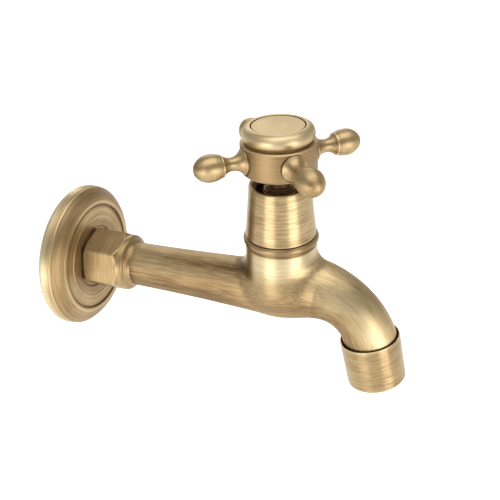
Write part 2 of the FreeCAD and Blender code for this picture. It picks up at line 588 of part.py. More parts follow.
def build_wall_flange():
    """Pressed flange that covers the hole in the wall, open at the back."""
    item = new_body("wall_flange")
    rolled = "1.05 * sqrt((flange_r - flange_back_r)^2 + flange_roll_x^2)"
    swelling = "1.6 * sqrt((flange_r - 0.9 - flange_crest_r)^2 + (flange_crest_x - flange_step_x - 0.3)^2)"
    inner_swelling = swelling.replace("1.6", "1.7")
    disc_end, ring = "flange_groove_r - flange_groove", "flange_disc_x + flange_ring"
    turned(item, "flange_shell", [
        ("0", "flange_back_r"), ("flange_roll_x", "flange_r", rolled, -1),
        ("flange_band_x", "flange_r - 0.1", "30", -1),
        ("flange_band_x + 0.2", "flange_r - flange_line"), ("flange_band_x + 0.4", "flange_r - flange_line"),
        ("flange_band_x + 0.6", "flange_r - 0.2"), ("flange_step_x - 0.1", "flange_r - 0.55", "2.5", -1),
        ("flange_step_x", "flange_r - 0.6 - flange_line"), ("flange_step_x + 0.2", "flange_r - 0.6 - flange_line"),
        ("flange_step_x + 0.3", "flange_r - 0.9"), ("flange_crest_x", "flange_crest_r", swelling, -1),
        ("flange_face_x", "flange_crest_r - 0.7", "0.9", -1), ("flange_face_x", "flange_groove_r + 0.1"),
        ("flange_face_x - flange_groove", "flange_groove_r"), ("flange_face_x - flange_groove", disc_end + " + 0.2"),
        ("flange_disc_x", disc_end), ("flange_disc_x", "flange_ring_r + 0.6"), (ring, "flange_ring_r + 0.1"),
        (ring, "flange_ring_r - 0.4"), ("flange_disc_x", "flange_ring_r - 1"),
        ("flange_disc_x", "flange_seat_r + 0.3"), ("flange_disc_x - 0.3", "flange_seat_r", "0.3", -1),
        ("flange_floor_x", "flange_seat_r"), ("flange_floor_x", "land_r + slip_fit"),
        ("flange_floor_x - flange_wall", "land_r + slip_fit"),
        ("flange_floor_x - flange_wall", "flange_seat_r + 0.9"),
        ("flange_disc_x - 1.15 * flange_wall", "flange_seat_r + 1.8"),
        ("flange_disc_x - 1.15 * flange_wall", "flange_groove_r - 0.8"),
        ("flange_crest_x - 1.5 * flange_wall", "flange_crest_r - 1.1"),
        ("flange_step_x - flange_wall", "flange_r - flange_wall - 1.2", inner_swelling, 1),
        ("flange_roll_x", "flange_r - flange_wall - 0.3"), ("0", "flange_back_r - flange_wall - 0.1"),
    ], axis="H_Axis")
    return item


def build_bonnet_sleeve():
    """Tapered sleeve screwed on the spigot, hiding the headwork."""
    item = new_body("bonnet_sleeve")
    bore = "spigot_r + thread_fit"
    turned(item, "sleeve", [
        (bore, "bonnet_z"), ("bonnet_low_r - 0.25", "bonnet_z"), ("bonnet_low_r", "bonnet_z + 0.25"),
        ("bonnet_top_r", "bonnet_top_z - bonnet_lip"),
        ("bonnet_top_r - bonnet_lip", "bonnet_top_z", "bonnet_lip * 1.02", 1),
        ("bonnet_bevel_r", "bonnet_top_z"), ("bonnet_hole_r", "bonnet_top_z - bonnet_bevel"),
        ("bonnet_hole_r", "bonnet_roof_z"), ("bonnet_cavity_r - 1", "bonnet_roof_z"),
        ("bonnet_cavity_r", "bonnet_roof_z - 1"), ("bonnet_cavity_r", "spigot_z + 0.4"),
        (bore, "spigot_z + 0.4"),
    ])
    set_on_valve_axis(item)
    return item


def build_headwork_body():
    """Quarter-turn headwork: thread, hexagon, neck, and a cage with windows for the discs."""
    item = new_body("headwork_body")
    turned(item, "headwork_turning", [
        ("cage_bore_r", "cage_z"), ("cage_r", "cage_z"), ("cage_r", "thread_z"),
        ("headwork_thread_r", "thread_z"), ("headwork_thread_r", "ring_groove_z"),
        ("ring_groove_r", "ring_groove_z"), ("ring_groove_r", "spigot_z"), ("headwork_af / 2 - 0.2", "spigot_z"),
        ("headwork_af / 2 - 0.2", "headwork_hex_z"), ("headwork_neck_r", "headwork_hex_z"),
        ("headwork_neck_r", "headwork_top_z - 0.4"), ("headwork_neck_r - 0.4", "headwork_top_z"),
        ("spindle_bore_r", "headwork_top_z"), ("spindle_bore_r", "cage_roof_z"), ("stop_bore_r", "cage_roof_z"),
        ("stop_bore_r", "stop_z"), ("cage_bore_r", "stop_z"),
    ])
    sketch = sketch_on(item, "XY_Plane", "headwork_hexagon_outline", out="spigot_z")
    hexagon(sketch, "headwork_af", "12")
    hex_sketch_height = "headwork_hex_z - spigot_z"
    disc_outline(sketch, "headwork_af / 2 - 1")
    pad = feature(item, "Pad", "headwork_hexagon", Profile=sketch, Length=size(hex_sketch_height))
    bind(pad, "Length", hex_sketch_height)
    corner = "headwork_af / sqrt(3)"
    turned(item, "headwork_hexagon_bevel", [
        ("headwork_af / 2 - 0.2", "headwork_hex_z + 0.01"), (corner + " + 0.1", "headwork_hex_z - 0.8"),
        (corner + " + 1", "headwork_hex_z - 0.8"), (corner + " + 1", "headwork_hex_z + 0.01"),
    ], kind="Groove")
    sketch = sketch_on(item, "YZ_Plane", "window_outline")
    outline(sketch, [("-window_half", "window_low_z"), ("window_half", "window_low_z"),
                     ("window_half", "window_high_z"), ("-window_half", "window_high_z")])
    feature(item, "Pocket", "cage_windows", Profile=sketch, Type="ThroughAll", Midplane=True)
    # the free arc of the stop, cut from below into the roof's ring
    sketch = sketch_on(item, "XY_Plane", "stop_outline", out="cage_roof_z")
    sector(sketch, "stop_bore_r - 0.6", "cage_bore_r", "stop_from", "stop_to")
    cut = feature(item, "Pocket", "stop_arc", Profile=sketch, Length=size("cage_roof_z - stop_z + 0.2"))
    bind(cut, "Length", "cage_roof_z - stop_z + 0.2")
    set_on_valve_axis(item)
    return item


def build_ring(name, radius, section_radius, height):
    """A rubber ring of round section round the valve axis."""
    item = new_body(name)
    sketch = sketch_on(item, "XZ_Plane", name + "_section")
    disc_outline(sketch, section_radius, radius, height)
    feature(item, "Revolution", name + "_ring", Profile=sketch, ReferenceAxis=(sketch, ["V_Axis"]))
    set_on_valve_axis(item)
    return item


def build_washer(name, bore, radius, low, high):
    """A flat ring round the valve axis."""
    item = new_body(name)
    turned(item, name + "_ring", [(bore, low), (radius, low), (radius, high), (bore, high)])
    set_on_valve_axis(item)
    return item


def cut_ports(item, high, turn):
    """Two opposite ports through a ceramic disc."""
    sketch = sketch_on(item, "XY_Plane", item.Label + "_port_outline", out=high, turn=turn)
    sector(sketch, "port_in_r", "port_out_r", "-port_half", "port_half")
    port = feature(item, "Pocket", item.Label + "_port", Profile=sketch, Length=size("disc_thick + 0.1"))
    bind(port, "Length", "disc_thick + 0.1")
    upright = [part for part in item.Origin.OriginFeatures if part.Role == "Z_Axis"][0]
    pattern = feature(item, "PolarPattern", item.Label + "_ports", Originals=[port], Axis=(upright, [""]),
                      Angle=360, Occurrences=2)
    item.Tip = pattern
    doc.recompute()


def build_fixed_disc():
    """Lower ceramic disc, pressed on the seat seal."""
    item = new_body("fixed_disc")
    high = "cage_z + disc_thick"
    turned(item, "fixed_disc_blank", [("0", "cage_z"), ("disc_r", "cage_z"), ("disc_r", high), ("0", high)])
    cut_ports(item, high, "0")
    set_on_valve_axis(item)
    return item


def build_moving_disc():
    """Upper ceramic disc, a quarter turn from the lower one's ports at rest, with a driving slot."""
    item = new_body("moving_disc")
    low, high = "cage_z + disc_thick + disc_gap", "cage_z + 2 * disc_thick + disc_gap"
    turned(item, "moving_disc_blank", [("0", low), ("disc_r", low), ("disc_r", high), ("0", high)])
    cut_ports(item, high, "90")
    sketch = sketch_on(item, "XY_Plane", "slot_outline", out=high)
    reach = "disc_r + 1"
    outline(sketch, [("-(%s)" % reach, "-slot_half"), (reach, "-slot_half"), (reach, "slot_half"),
                     ("-(%s)" % reach, "slot_half")])
    cut = feature(item, "Pocket", "driving_slot", Profile=sketch, Length=size("slot_depth"))
    bind(cut, "Length", "slot_depth")
    set_on_valve_axis(item)
    return item


def build_spindle():
    """Spindle with its driving bar, thrust flange, stop lug, ring grooves, clip groove and splines."""
    item = new_body("spindle")
    disc_top = "cage_z + 2 * disc_thick + disc_gap"
    thrust_top, thrust_low = "cage_roof_z - thrust_gap", "stop_z + thrust_gap"
    half = "oring_groove / 2"
    clip_low = "headwork_top_z + slip_thick + 2 * slip_gap"
    clip_high = clip_low + " + clip_thick + slip_gap"
    corners = [("0", disc_top + " + 0.2"), ("spindle_r", disc_top + " + 0.2"), ("spindle_r", thrust_low),
               ("thrust_r", thrust_low), ("thrust_r", thrust_top), ("spindle_r", thrust_top)]
    for level in ("oring_low_z", "oring_high_z"):
        corners += [("spindle_r", "%s - %s" % (level, half)), ("oring_groove_r", "%s - %s" % (level, half)),
                    ("oring_groove_r", "%s + %s" % (level, half)), ("spindle_r", "%s + %s" % (level, half))]
    corners += [("spindle_r", clip_low), ("clip_groove_r", clip_low), ("clip_groove_r", clip_high),
                ("spindle_r", clip_high), ("spindle_r", "spindle_top_z - 0.5"),
                ("spindle_r - 0.5", "spindle_top_z"), ("tapped_r", "spindle_top_z"),
                ("tapped_r", "spindle_top_z - tapped_depth"), ("0", "spindle_top_z - tapped_depth - 1.2")]
    turned(item, "spindle_turning", corners)
    sketch = sketch_on(item, "XY_Plane", "driver_outline", out=disc_top + " - slot_depth + 0.1")
    outline(sketch, [("-driver_length", "-driver_half"), ("driver_length", "-driver_half"),
                     ("driver_length", "driver_half"), ("-driver_length", "driver_half")])
    height = "driver_z - (%s - slot_depth + 0.1)" % disc_top
    pad = feature(item, "Pad", "driver", Profile=sketch, Length=size(height))
    bind(pad, "Length", height)
    sketch = sketch_on(item, "XY_Plane", "lug_outline", out=thrust_low)
    sector(sketch, "thrust_r - 1", "lug_r", "-lug_half", "lug_half")
    pad = feature(item, "Pad", "stop_lug", Profile=sketch, Length=size("%s - (%s)" % (thrust_top, thrust_low)))
    bind(pad, "Length", "%s - (%s)" % (thrust_top, thrust_low))
    sketch = sketch_on(item, "XY_Plane", "spline_outline", out="spindle_top_z")
    disc_outline(sketch, "spline_r", "spindle_r", "0")
    groove = feature(item, "Pocket", "spline_groove", Profile=sketch, Length=size("spindle_top_z - spline_z"))
    bind(groove, "Length", "spindle_top_z - spline_z")
    upright = [part for part in item.Origin.OriginFeatures if part.Role == "Z_Axis"][0]
    pattern = feature(item, "PolarPattern", "splines", Originals=[groove], Axis=(upright, [""]),
                      Angle=360, Occurrences=12)
    item.Tip = pattern
    doc.recompute()
    set_on_valve_axis(item)
    return item


def build_circlip():
    """Open ring in the spindle's clip groove."""
    item = new_body("circlip")
    low = "headwork_top_z + slip_thick + 2 * slip_gap + slip_gap / 2"
    sketch = sketch_on(item, "XY_Plane", "circlip_outline", out=low)
    disc_outline(sketch, "clip_r")
    disc_outline(sketch, "clip_groove_r + 0.03")
    pad = feature(item, "Pad", "circlip_ring", Profile=sketch, Length=size("clip_thick"))
    bind(pad, "Length", "clip_thick")
    sketch = sketch_on(item, "XY_Plane", "circlip_gap_outline", out=low + " + clip_thick")
    sector(sketch, "clip_groove_r - 1", "clip_r + 1", "60", "120")
    cut = feature(item, "Pocket", "circlip_gap", Profile=sketch, Length=size("clip_thick + 1"))
    bind(cut, "Length", "clip_thick + 1")
    set_on_valve_axis(item)
    return item


def build_handle_hub():
    """Round hub with a boss, a bore over the splines, a screw recess and four spot-faced sockets."""
    item = new_body("handle_hub")
    web_top = "hub_web_z + hub_web"
    spigot_top = "hub_top_z + hub_spigot"
    turned(item, "hub_turning", [
        ("hub_bore_r", "boss_z"), ("boss_r - 0.3", "boss_z"), ("boss_r", "boss_z + 0.3"),
        ("boss_r", "boss_line_z"), ("boss_r - 0.5", "boss_line_z + 0.3"), ("boss_r - 0.5", "boss_line_z + 0.8"),
        ("boss_r", "boss_line_z + 1.1"), ("boss_r", "hub_z"),
        ("hub_r - hub_round", "hub_z"), ("hub_r", "hub_z + hub_round", "hub_round", 1),
        ("hub_r", "hub_top_z - hub_lip"), ("hub_r - hub_lip", "hub_top_z"), ("hub_spigot_r", "hub_top_z"),
        ("hub_spigot_r", spigot_top), ("hub_recess_r", spigot_top), ("hub_recess_r", web_top),
        ("hub_hole_r", web_top), ("hub_hole_r", "hub_web_z"), ("hub_bore_r", "hub_web_z"),
    ])
    arm_sockets(item)
    set_on_valve_axis(item)
    return item


def arm_sockets(item):
    """Spot face and tapped hole for the first arm, then the same for the other three."""
    away = "(hub_r + 2)"
    cuts = []
    for name, radius, floor in (("arm_spot_face", "socket_r", "socket_s"), ("arm_hole", "arm_hole_r", "arm_hole_s")):
        sketch = sketch_on(item, "YZ_Plane", name + "_outline", x=away + " * sin(arm_turn * 1 deg)", y="arm_z",
                           out=away + " * cos(arm_turn * 1 deg)", turn="arm_turn", axis=Vec(0, 1, 0))
        disc_outline(sketch, radius)
        depth = "%s - %s" % (away, floor)
        cut = feature(item, "Pocket", name, Profile=sketch, Length=size(depth))
        bind(cut, "Length", depth)
        cuts.append(cut)
    upright = [part for part in item.Origin.OriginFeatures if part.Role == "Z_Axis"][0]
    item.Tip = feature(item, "PolarPattern", "arm_socket_set", Originals=cuts, Axis=(upright, [""]),
                       Angle=360, Occurrences=4)
    doc.recompute()


def rest_radius(along, across):
    """Radius of an arc that ends level after going a given way along and across."""
    return "(((%s) ^ 2 + (%s) ^ 2) / (2 * (%s)))" % (along, across, across)


def build_arm(number):
    """Turned arm: stud, foot, waist, fine edge and egg-shaped knob, its own x along the arm."""
    item = new_body("arm_%d" % number)
    name = "arm_%d_" % number
    edge_r, edge_s = "(arm_cup_r + arm_line)", "(arm_cup_s + 0.3)"
    reach = "(knob_tip_s - knob_s - knob_tip_r)"
    side_r = "((%s ^ 2 + knob_r ^ 2 - knob_tip_r ^ 2) / (2 * (knob_r - knob_tip_r)))" % reach
    share = "%s / (%s - knob_tip_r)" % (side_r, side_r)
    turned(item, name + "turning", [
        ("arm_hole_s + 1.4", "0"), ("arm_hole_s + 1.4", "arm_stud_r - 0.5"),
        ("arm_hole_s + 1.9", "arm_stud_r"), ("socket_s", "arm_stud_r"), ("socket_s", "arm_foot_r"),
        ("arm_foot_s", "arm_foot_r"),
        ("arm_waist_s", "arm_waist_r", rest_radius("arm_waist_s - arm_foot_s", "arm_foot_r - arm_waist_r"), 1),
        ("arm_cup_s", "arm_cup_r", rest_radius("arm_cup_s - arm_waist_s", "arm_cup_r - arm_waist_r"), 1),
        ("arm_cup_s", edge_r), (edge_s, edge_r),
        ("knob_s", "knob_r", rest_radius("knob_s - " + edge_s, "knob_r - " + edge_r), -1),
        ("knob_s + %s * %s" % (reach, share), "knob_r - %s + (%s - knob_r) * %s" % (side_r, side_r, share), side_r, -1),
        ("knob_tip_s", "0", "knob_tip_r", -1),
    ], axis="H_Axis")
    turn = "arm_turn + %d" % (90 * (number - 1))
    item.Placement = FreeCAD.Placement(Vec(size("valve_x"), 0, size("arm_z")),
                                       FreeCAD.Rotation(Vec(0, 0, 1), size(turn)))
    item.setExpression("Placement.Base.x", bound("valve_x"))
    item.setExpression("Placement.Base.z", bound("arm_z"))
    item.setExpression("Placement.Rotation.Angle", bound("(%s) * 1 deg" % turn))
    return item


def build_cap_ring():
    """Bull-nosed ring on top of the hub, with a plug below and a recess above."""
    item = new_body("cap_ring")
    foot_z = "hub_top_z + hub_spigot"
    lower_round = "((cap_r - cap_foot_r) ^ 2 + (cap_mid_z - (%s)) ^ 2) / (2 * (cap_r - cap_foot_r))" % foot_z
    crown_z = "cap_mid_z + cap_round"
    turned(item, "cap_turning", [
        ("0", foot_z + " - cap_plug"), ("cap_plug_r", foot_z + " - cap_plug"), ("cap_plug_r", foot_z),
        ("cap_foot_r", foot_z), ("cap_r", "cap_mid_z", lower_round, 1),
        ("cap_r - cap_round", crown_z, "cap_round", 1), ("cap_recess_r + 0.15", crown_z),
        ("cap_recess_r", crown_z + " - 0.15"), ("cap_recess_r", "cap_recess_z"), ("0", "cap_recess_z"),
    ])
    set_on_valve_axis(item)
    return item


def build_index_disc():
    """Plain disc let into the cap ring."""
    item = new_body("index_disc")
    turned(item, "index_turning", [
        ("0", "cap_recess_z"), ("index_r", "cap_recess_z"), ("index_r", "index_z - index_edge"),
        ("index_r - index_edge", "index_z"), ("0", "index_z"),
    ])
    set_on_valve_axis(item)
    return item


def build_handle_screw():
    """Screw that holds the hub on the spindle."""
    item = new_body("handle_screw")
    head_z = "hub_web_z + hub_web + spring_washer"
    head_top = head_z + " + screw_head"
    turned(item, "screw_turning", [
        ("0", "screw_tip_z"), ("screw_r - 0.4", "screw_tip_z"), ("screw_r", "screw_tip_z + 0.4"),
        ("screw_r", head_z), ("screw_head_r", head_z), ("screw_head_r", head_top + " - 0.3"),
        ("screw_head_r - 0.3", head_top), ("0", head_top),
    ])
    sketch = sketch_on(item, "XY_Plane", "screw_key_outline", out=head_top)
    hexagon(sketch, "screw_key_af")
    cut = feature(item, "Pocket", "screw_key", Profile=sketch, Length=size("screw_key_depth"))
    bind(cut, "Length", "screw_key_depth")
    set_on_valve_axis(item)
    return item


def build_spring_washer():
    """Split washer under the screw's head."""
    item = new_body("spring_washer")
    low, high = "hub_web_z + hub_web", "hub_web_z + hub_web + spring_washer"
    turned(item, "spring_washer_ring", [("screw_r + 0.6", low), ("spring_washer_r", low),
                                        ("spring_washer_r", high), ("screw_r + 0.6", high)])
    sketch = sketch_on(item, "XY_Plane", "split_outline", out=high)
    outline(sketch, [("0.5", "-0.25"), ("spring_washer_r + 1", "-0.25"), ("spring_washer_r + 1", "0.25"),
                     ("0.5", "0.25")])
    cut = feature(item, "Pocket", "split", Profile=sketch, Length=size("spring_washer + 0.5"))
    bind(cut, "Length", "spring_washer + 0.5")
    set_on_valve_axis(item)
    return item


def build_outlet_collar():
    """Thin round collar on the spout's end that holds the aerator."""
    item = new_body("outlet_collar")
    thread = "outlet_thread_r + thread_fit"
    turned(item, "collar_turning", [
        ("mouth_r", "-mouth_depth"), ("mouth_r", "-0.12"), ("mouth_r + 0.12", "0"), ("outlet_r - 0.15", "0"),
        ("outlet_r", "-0.15"), ("outlet_low_r", "-outlet_length + outlet_edge"),
        ("outlet_low_r - outlet_edge", "-outlet_length", "outlet_edge", -1),
        ("aerator_lip_r", "-outlet_length"), ("aerator_lip_r", "-outlet_length + aerator_lip"),
        ("aerator_bore_r", "-outlet_length + aerator_lip"), ("aerator_bore_r", "-outlet_thread_end - 0.6"),
        (thread, "-outlet_thread_end - 0.6"), (thread, "-mouth_depth"),
    ])
    set_on_outlet(item)
    return item


def build_aerator_washer():
    """Rubber washer between the spout's end and the aerator."""
    item = new_body("aerator_washer")
    radius = "aerator_bore_r - aerator_fit"
    low, high = "-outlet_thread_end - washer_thick", "-outlet_thread_end"
    turned(item, "washer_turning", [("washer_bore_r", low), (radius, low), (radius, high), ("washer_bore_r", high)])
    set_on_outlet(item)
    return item


def drill_ring(item, name, top, depth, hole_r, ring_r, count):
    """One hole down from a level, repeated round the axis."""
    sketch = sketch_on(item, "XY_Plane", name + "_outline", out=top)
    disc_outline(sketch, hole_r, ring_r, "0")
    hole = feature(item, "Pocket", name, Profile=sketch, Length=size(depth))
    bind(hole, "Length", depth)
    upright = [part for part in item.Origin.OriginFeatures if part.Role == "Z_Axis"][0]
    pattern = feature(item, "PolarPattern", name + "_set", Originals=[hole], Axis=(upright, [""]),
                      Angle=360, Occurrences=count)
    item.Tip = pattern
    doc.recompute()


def build_aerator_insert():
    """Cup with a drilled plate that breaks up the stream."""
    item = new_body("aerator_insert")
    radius = "aerator_bore_r - aerator_fit"
    top = "-outlet_thread_end - washer_thick"
    low = "-outlet_length + aerator_lip + screen_thick"
    turned(item, "insert_turning", [
        ("0", top), ("0", top + " - insert_plate"), (radius + " - insert_wall", top + " - insert_plate"),
        (radius + " - insert_wall", low), (radius, low), (radius, top),
    ])
    for number, (ring, count) in enumerate((("2.2", 6), ("4.2", 12), ("6.2", 18)), start=1):
        drill_ring(item, "insert_holes_%d" % number, top, "insert_plate + 0.5", "insert_hole_r",
                   ring + " * way_r / 5", count)
    set_on_outlet(item)
    return item


def build_aerator_screen():
    """Drilled plate on the collar's lower lip, seen from below."""
    item = new_body("aerator_screen")
    radius = "aerator_bore_r - aerator_fit"
    low = "-outlet_length + aerator_lip"
    high = low + " + screen_thick"
    turned(item, "screen_turning", [("0", low), (radius, low), (radius, high), ("0", high)])
    for number, (ring, count) in enumerate((("2.4", 6), ("4.8", 12), ("7.2", 18)), start=1):
        drill_ring(item, "screen_holes_%d" % number, high, "screen_thick + 0.5", "screen_hole_r",
                   ring + " * aerator_lip_r / 9.2", count)
    set_on_outlet(item)
    return item


bodies = [build_tap_body(), build_wall_flange(), build_bonnet_sleeve(), build_headwork_body()]
bodies.append(build_ring("headwork_oring", "(ring_groove_r + ring_seat_r) / 2", "(ring_seat_r - ring_groove_r) / 2 - 0.01",
                         "spigot_z - (ring_seat_r - ring_groove_r) / 2 - 0.05"))
bodies.append(build_washer("seat_seal", "seal_bore_r", "seal_r", "seat_z", "cage_z"))
bodies += [build_fixed_disc(), build_moving_disc(), build_spindle()]
for ring_name, level in (("spindle_oring_lower", "oring_low_z"), ("spindle_oring_upper", "oring_high_z")):
    bodies.append(build_ring(ring_name, "oring_groove_r + oring_section + 0.01", "oring_section", level))
bodies.append(build_washer("slip_washer", "spindle_r + 0.08", "slip_r", "headwork_top_z + slip_gap",
                           "headwork_top_z + slip_gap + slip_thick"))
bodies += [build_circlip(), build_handle_hub()]
bodies += [build_arm(number) for number in range(1, 5)]
bodies += [build_cap_ring(), build_index_disc(), build_handle_screw(), build_spring_washer()]
bodies += [build_outlet_collar(), build_aerator_washer(), build_aerator_insert(), build_aerator_screen()]
doc.recompute()

faults = []
for thing in doc.Objects:
    if "Invalid" in thing.State or "Error" in thing.State:
        faults.append("%s is %s" % (thing.Name, thing.State))
for item in bodies:
    if item.Shape.isNull() or not item.Shape.isValid() or len(item.Shape.Solids) != 1:
        faults.append("%s is not one sound solid" % item.Label)
if faults:
    raise RuntimeError("; ".join(faults))
for item in bodies:
    item.Shape.exportStep("parts/%s.step" % item.Label)
    print("%-22s %9.1f mm3" % (item.Label, item.Shape.Volume))
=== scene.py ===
# %% [markdown]
# Garden tap in brushed antique brass. The imported model is loaded first: it fixes the frame, so every piece made
# below is put where the solids are. Blender works in metres, while a tap is read in millimetres, so the cells give
# millimetres and scale them by MM.

# %% Load the imported model
import math

import bmesh
import bpy
import numpy as np
from mathutils import Matrix, Vector


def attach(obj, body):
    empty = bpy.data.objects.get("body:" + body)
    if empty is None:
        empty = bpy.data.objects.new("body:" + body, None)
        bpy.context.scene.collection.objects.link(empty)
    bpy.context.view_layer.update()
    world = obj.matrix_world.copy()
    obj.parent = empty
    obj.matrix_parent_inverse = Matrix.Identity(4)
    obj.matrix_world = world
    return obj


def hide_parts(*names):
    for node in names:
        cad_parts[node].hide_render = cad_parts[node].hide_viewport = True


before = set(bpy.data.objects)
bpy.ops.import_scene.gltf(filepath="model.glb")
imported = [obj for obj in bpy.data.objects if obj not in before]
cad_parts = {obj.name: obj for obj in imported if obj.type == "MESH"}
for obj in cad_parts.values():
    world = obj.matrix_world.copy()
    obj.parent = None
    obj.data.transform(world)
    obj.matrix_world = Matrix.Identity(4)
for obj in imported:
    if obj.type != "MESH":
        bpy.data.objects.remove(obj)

MM = 0.001
scene = bpy.context.scene
scene.view_settings.view_transform = "Standard"
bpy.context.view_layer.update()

# %% [markdown]
# The camera stands where the photographer's stood: a third of a metre away, to the right of the tap and above it,
# so near that the flange at the back looks clearly smaller than the outlet. One could turn it by hand until it
# looks right. Here its place and its three axes were worked out instead, by laying the drawn rings of the solids
# over the photograph until they covered it, because shapes can only be compared through the true camera.

# %% Camera
CAMERA_AT = (0.19743, -0.25904, 0.17796)
TO_RIGHT, TO_TOP, TO_BACK = (0.9271, 0.37234, -0.04306), (-0.15087, 0.47585, 0.86649), (0.34312, -0.79682, 0.49733)
camera = bpy.data.objects.new("camera", bpy.data.cameras.new("camera"))
scene.collection.objects.link(camera)
scene.camera = camera
camera.data.lens = 57.005
camera.data.sensor_width = 36
camera.data.clip_start = 0.01
camera.matrix_world = Matrix.Translation(CAMERA_AT) @ Matrix((TO_RIGHT, TO_TOP, TO_BACK)).transposed().to_4x4()
print("camera at", CAMERA_AT, "with a lens of", round(camera.data.lens, 1), "mm")

# %% [markdown]
# Every material is a small net of shader nodes. They could be wired one by one, but that takes four lines a node.
# Three helpers keep the cells short: one makes a node and feeds its inputs with numbers or with other nodes'
# outputs, one does sums with them, and one reads a measure that a mesh carries.

# %% Helpers for materials
def node(tree, kind, inputs=(), output=0, **settings):
    """Makes a shader node, feeds its inputs and gives one of its outputs."""
    made = tree.nodes.new("ShaderNode" + kind)
    for key, value in settings.items():
        setattr(made, key, value)
    for socket, value in dict(inputs).items():
        if isinstance(value, bpy.types.NodeSocket):
            tree.links.new(value, made.inputs[socket])
        else:
            made.inputs[socket].default_value = value
    return made.outputs[output]


def sums(tree, first, *steps):
    """Carries a value through steps such as ("MULTIPLY", 2) or ("ADD", another output)."""
    for operation, other in steps:
        first = node(tree, "Math", {0: first, 1: other}, operation=operation)
    return first


def measure(tree, name, output="Fac"):
    """A number, or with output Vector a vector, that the mesh carries at each point."""
    return node(tree, "Attribute", output=output, attribute_name=name)


def new_material(name):
    """An empty node material, its tree and its shader."""
    made = bpy.data.materials.new(name)
    made.use_nodes = True
    return made, made.node_tree, made.node_tree.nodes["Principled BSDF"]


print("helpers for materials ready")

# %% [markdown]
# The tap stands before plain white paper. A curved backdrop would do, but a wide floor far below is simpler and
# looks the same from here. It is matt and white and lit by the tap's own lamps, with a little glow for the camera
# and for reflections, so that the paper comes out white while a shadow on it would still be seen.

# %% Paper floor
FLOOR_Z, FLOOR_HALF, PAPER_GLOW = -0.3, 15, 0.6


def floor_paper():
    made, tree, shader = new_material("paper")
    shader.inputs["Base Color"].default_value = (0.86, 0.86, 0.86, 1)
    shader.inputs["Roughness"].default_value = 0.9
    shader.inputs["Specular IOR Level"].default_value = 0.1
    shader.inputs["Emission Color"].default_value = (1, 1, 1, 1)
    rays = tree.nodes.new("ShaderNodeLightPath").outputs
    seen = sums(tree, rays["Is Camera Ray"], ("ADD", rays["Is Glossy Ray"]), ("ADD", rays["Is Transmission Ray"]))
    glow = sums(tree, seen, ("MINIMUM", 1), ("MULTIPLY", PAPER_GLOW))
    tree.links.new(glow, shader.inputs["Emission Strength"])
    return made


corners = [(x * FLOOR_HALF, y * FLOOR_HALF, FLOOR_Z) for x, y in ((-1, -1), (1, -1), (1, 1), (-1, 1))]
data = bpy.data.meshes.new("floor")
data.from_pydata(corners, [], [(0, 1, 2, 3)])
floor = bpy.data.objects.new("floor", data)
floor.data.materials.append(floor_paper())
scene.collection.objects.link(floor)
print("floor at", FLOOR_Z, "m")

# %% [markdown]
# Brass shows its shape by what it mirrors, so the light is a studio's: a soft box at the left and a narrower one
# at the right give the two bright bands down the bonnet, a wide one overhead lights the cap, and a weak one behind
# lines the back. Small lamps would leave hard spots on the metal. A dim grey room in between leaves the edges of
# each round part darker.

# %% Studio light
AIM = Vector((0.075, 0, 0.015))


def soft_box(name, place, size, power):
    """A rectangular lamp with its face to the tap."""
    lamp = bpy.data.lights.new(name, "AREA")
    lamp.shape = "RECTANGLE"
    lamp.size, lamp.size_y = size
    lamp.energy = power
    made = bpy.data.objects.new(name, lamp)
    made.matrix_world = Matrix.Translation(place) @ (Vector(place) - AIM).to_track_quat("Z", "Y").to_matrix().to_4x4()
    scene.collection.objects.link(made)


soft_box("left_box", (-0.12, -0.78, -0.06), (0.45, 0.44), 2.25)
soft_box("right_box", (0.76, -0.36, -0.03), (0.40, 0.48), 2.2)
soft_box("top_box", (0.20, -0.10, 0.95), (1.2, 0.8), 6.0)
soft_box("back_box", (-0.42, 0.98, 0.60), (0.7, 0.35), 1.7)
room = bpy.data.worlds.new("room")
scene.world = room
room.use_nodes = True
room.node_tree.nodes["Background"].inputs["Color"].default_value = (1, 0.985, 0.96, 1)
room.node_tree.nodes["Background"].inputs["Strength"].default_value = 0.55
print("lamps:", [lamp.name for lamp in bpy.data.lights])

# %% [markdown]
# Antique brass is plated, stained brown and then brushed back to the metal. What one sees up close are fine
# scratches, round the axis on turned parts and along the tube on the casting. A picture of scratches would show
# its seams on a bent tube. Noise stretched along the brushing has none, so the scratches are noise: a wide one and
# a fine one, read in a space where the way round, or along, is pressed together.

# %% Scratches
WIDE = {"Scale": 1.2, "Detail": 3.0, "Roughness": 0.6}
FINE = {"Scale": 3.4, "Detail": 1.0, "Roughness": 0.5}
ROUND_SCALE, LANE_SCALE = 0.8, 2.1
DRAWN_SCALE = (0.045, 1.2, 1.2)


def turned_grain(tree, place, centre, own_lane):
    """Scratches round an upright axis at x = centre, and the way they lie; the lane is the mesh's own or the height."""
    off = node(tree, "VectorMath", {0: place, 1: (centre, 0, 0)}, operation="SUBTRACT")
    flat = node(tree, "VectorMath", {0: off, 1: (1, 1, 0)}, operation="MULTIPLY")
    way = node(tree, "VectorMath", {0: flat}, operation="NORMALIZE")
    way = node(tree, "VectorMath", {0: way, "Scale": ROUND_SCALE}, operation="SCALE")
    lane = measure(tree, "lane") if own_lane else node(tree, "SeparateXYZ", {0: off}, output="Z")
    lift = node(tree, "CombineXYZ", {"Z": sums(tree, lane, ("MULTIPLY", LANE_SCALE))})
    lanes = node(tree, "VectorMath", {0: way, 1: lift}, operation="ADD")
    broad, hair = [node(tree, "TexNoise", {"Vector": lanes, **kind}) for kind in (WIDE, FINE)]
    return broad, hair, node(tree, "Tangent", direction_type="RADIAL", axis="Z")


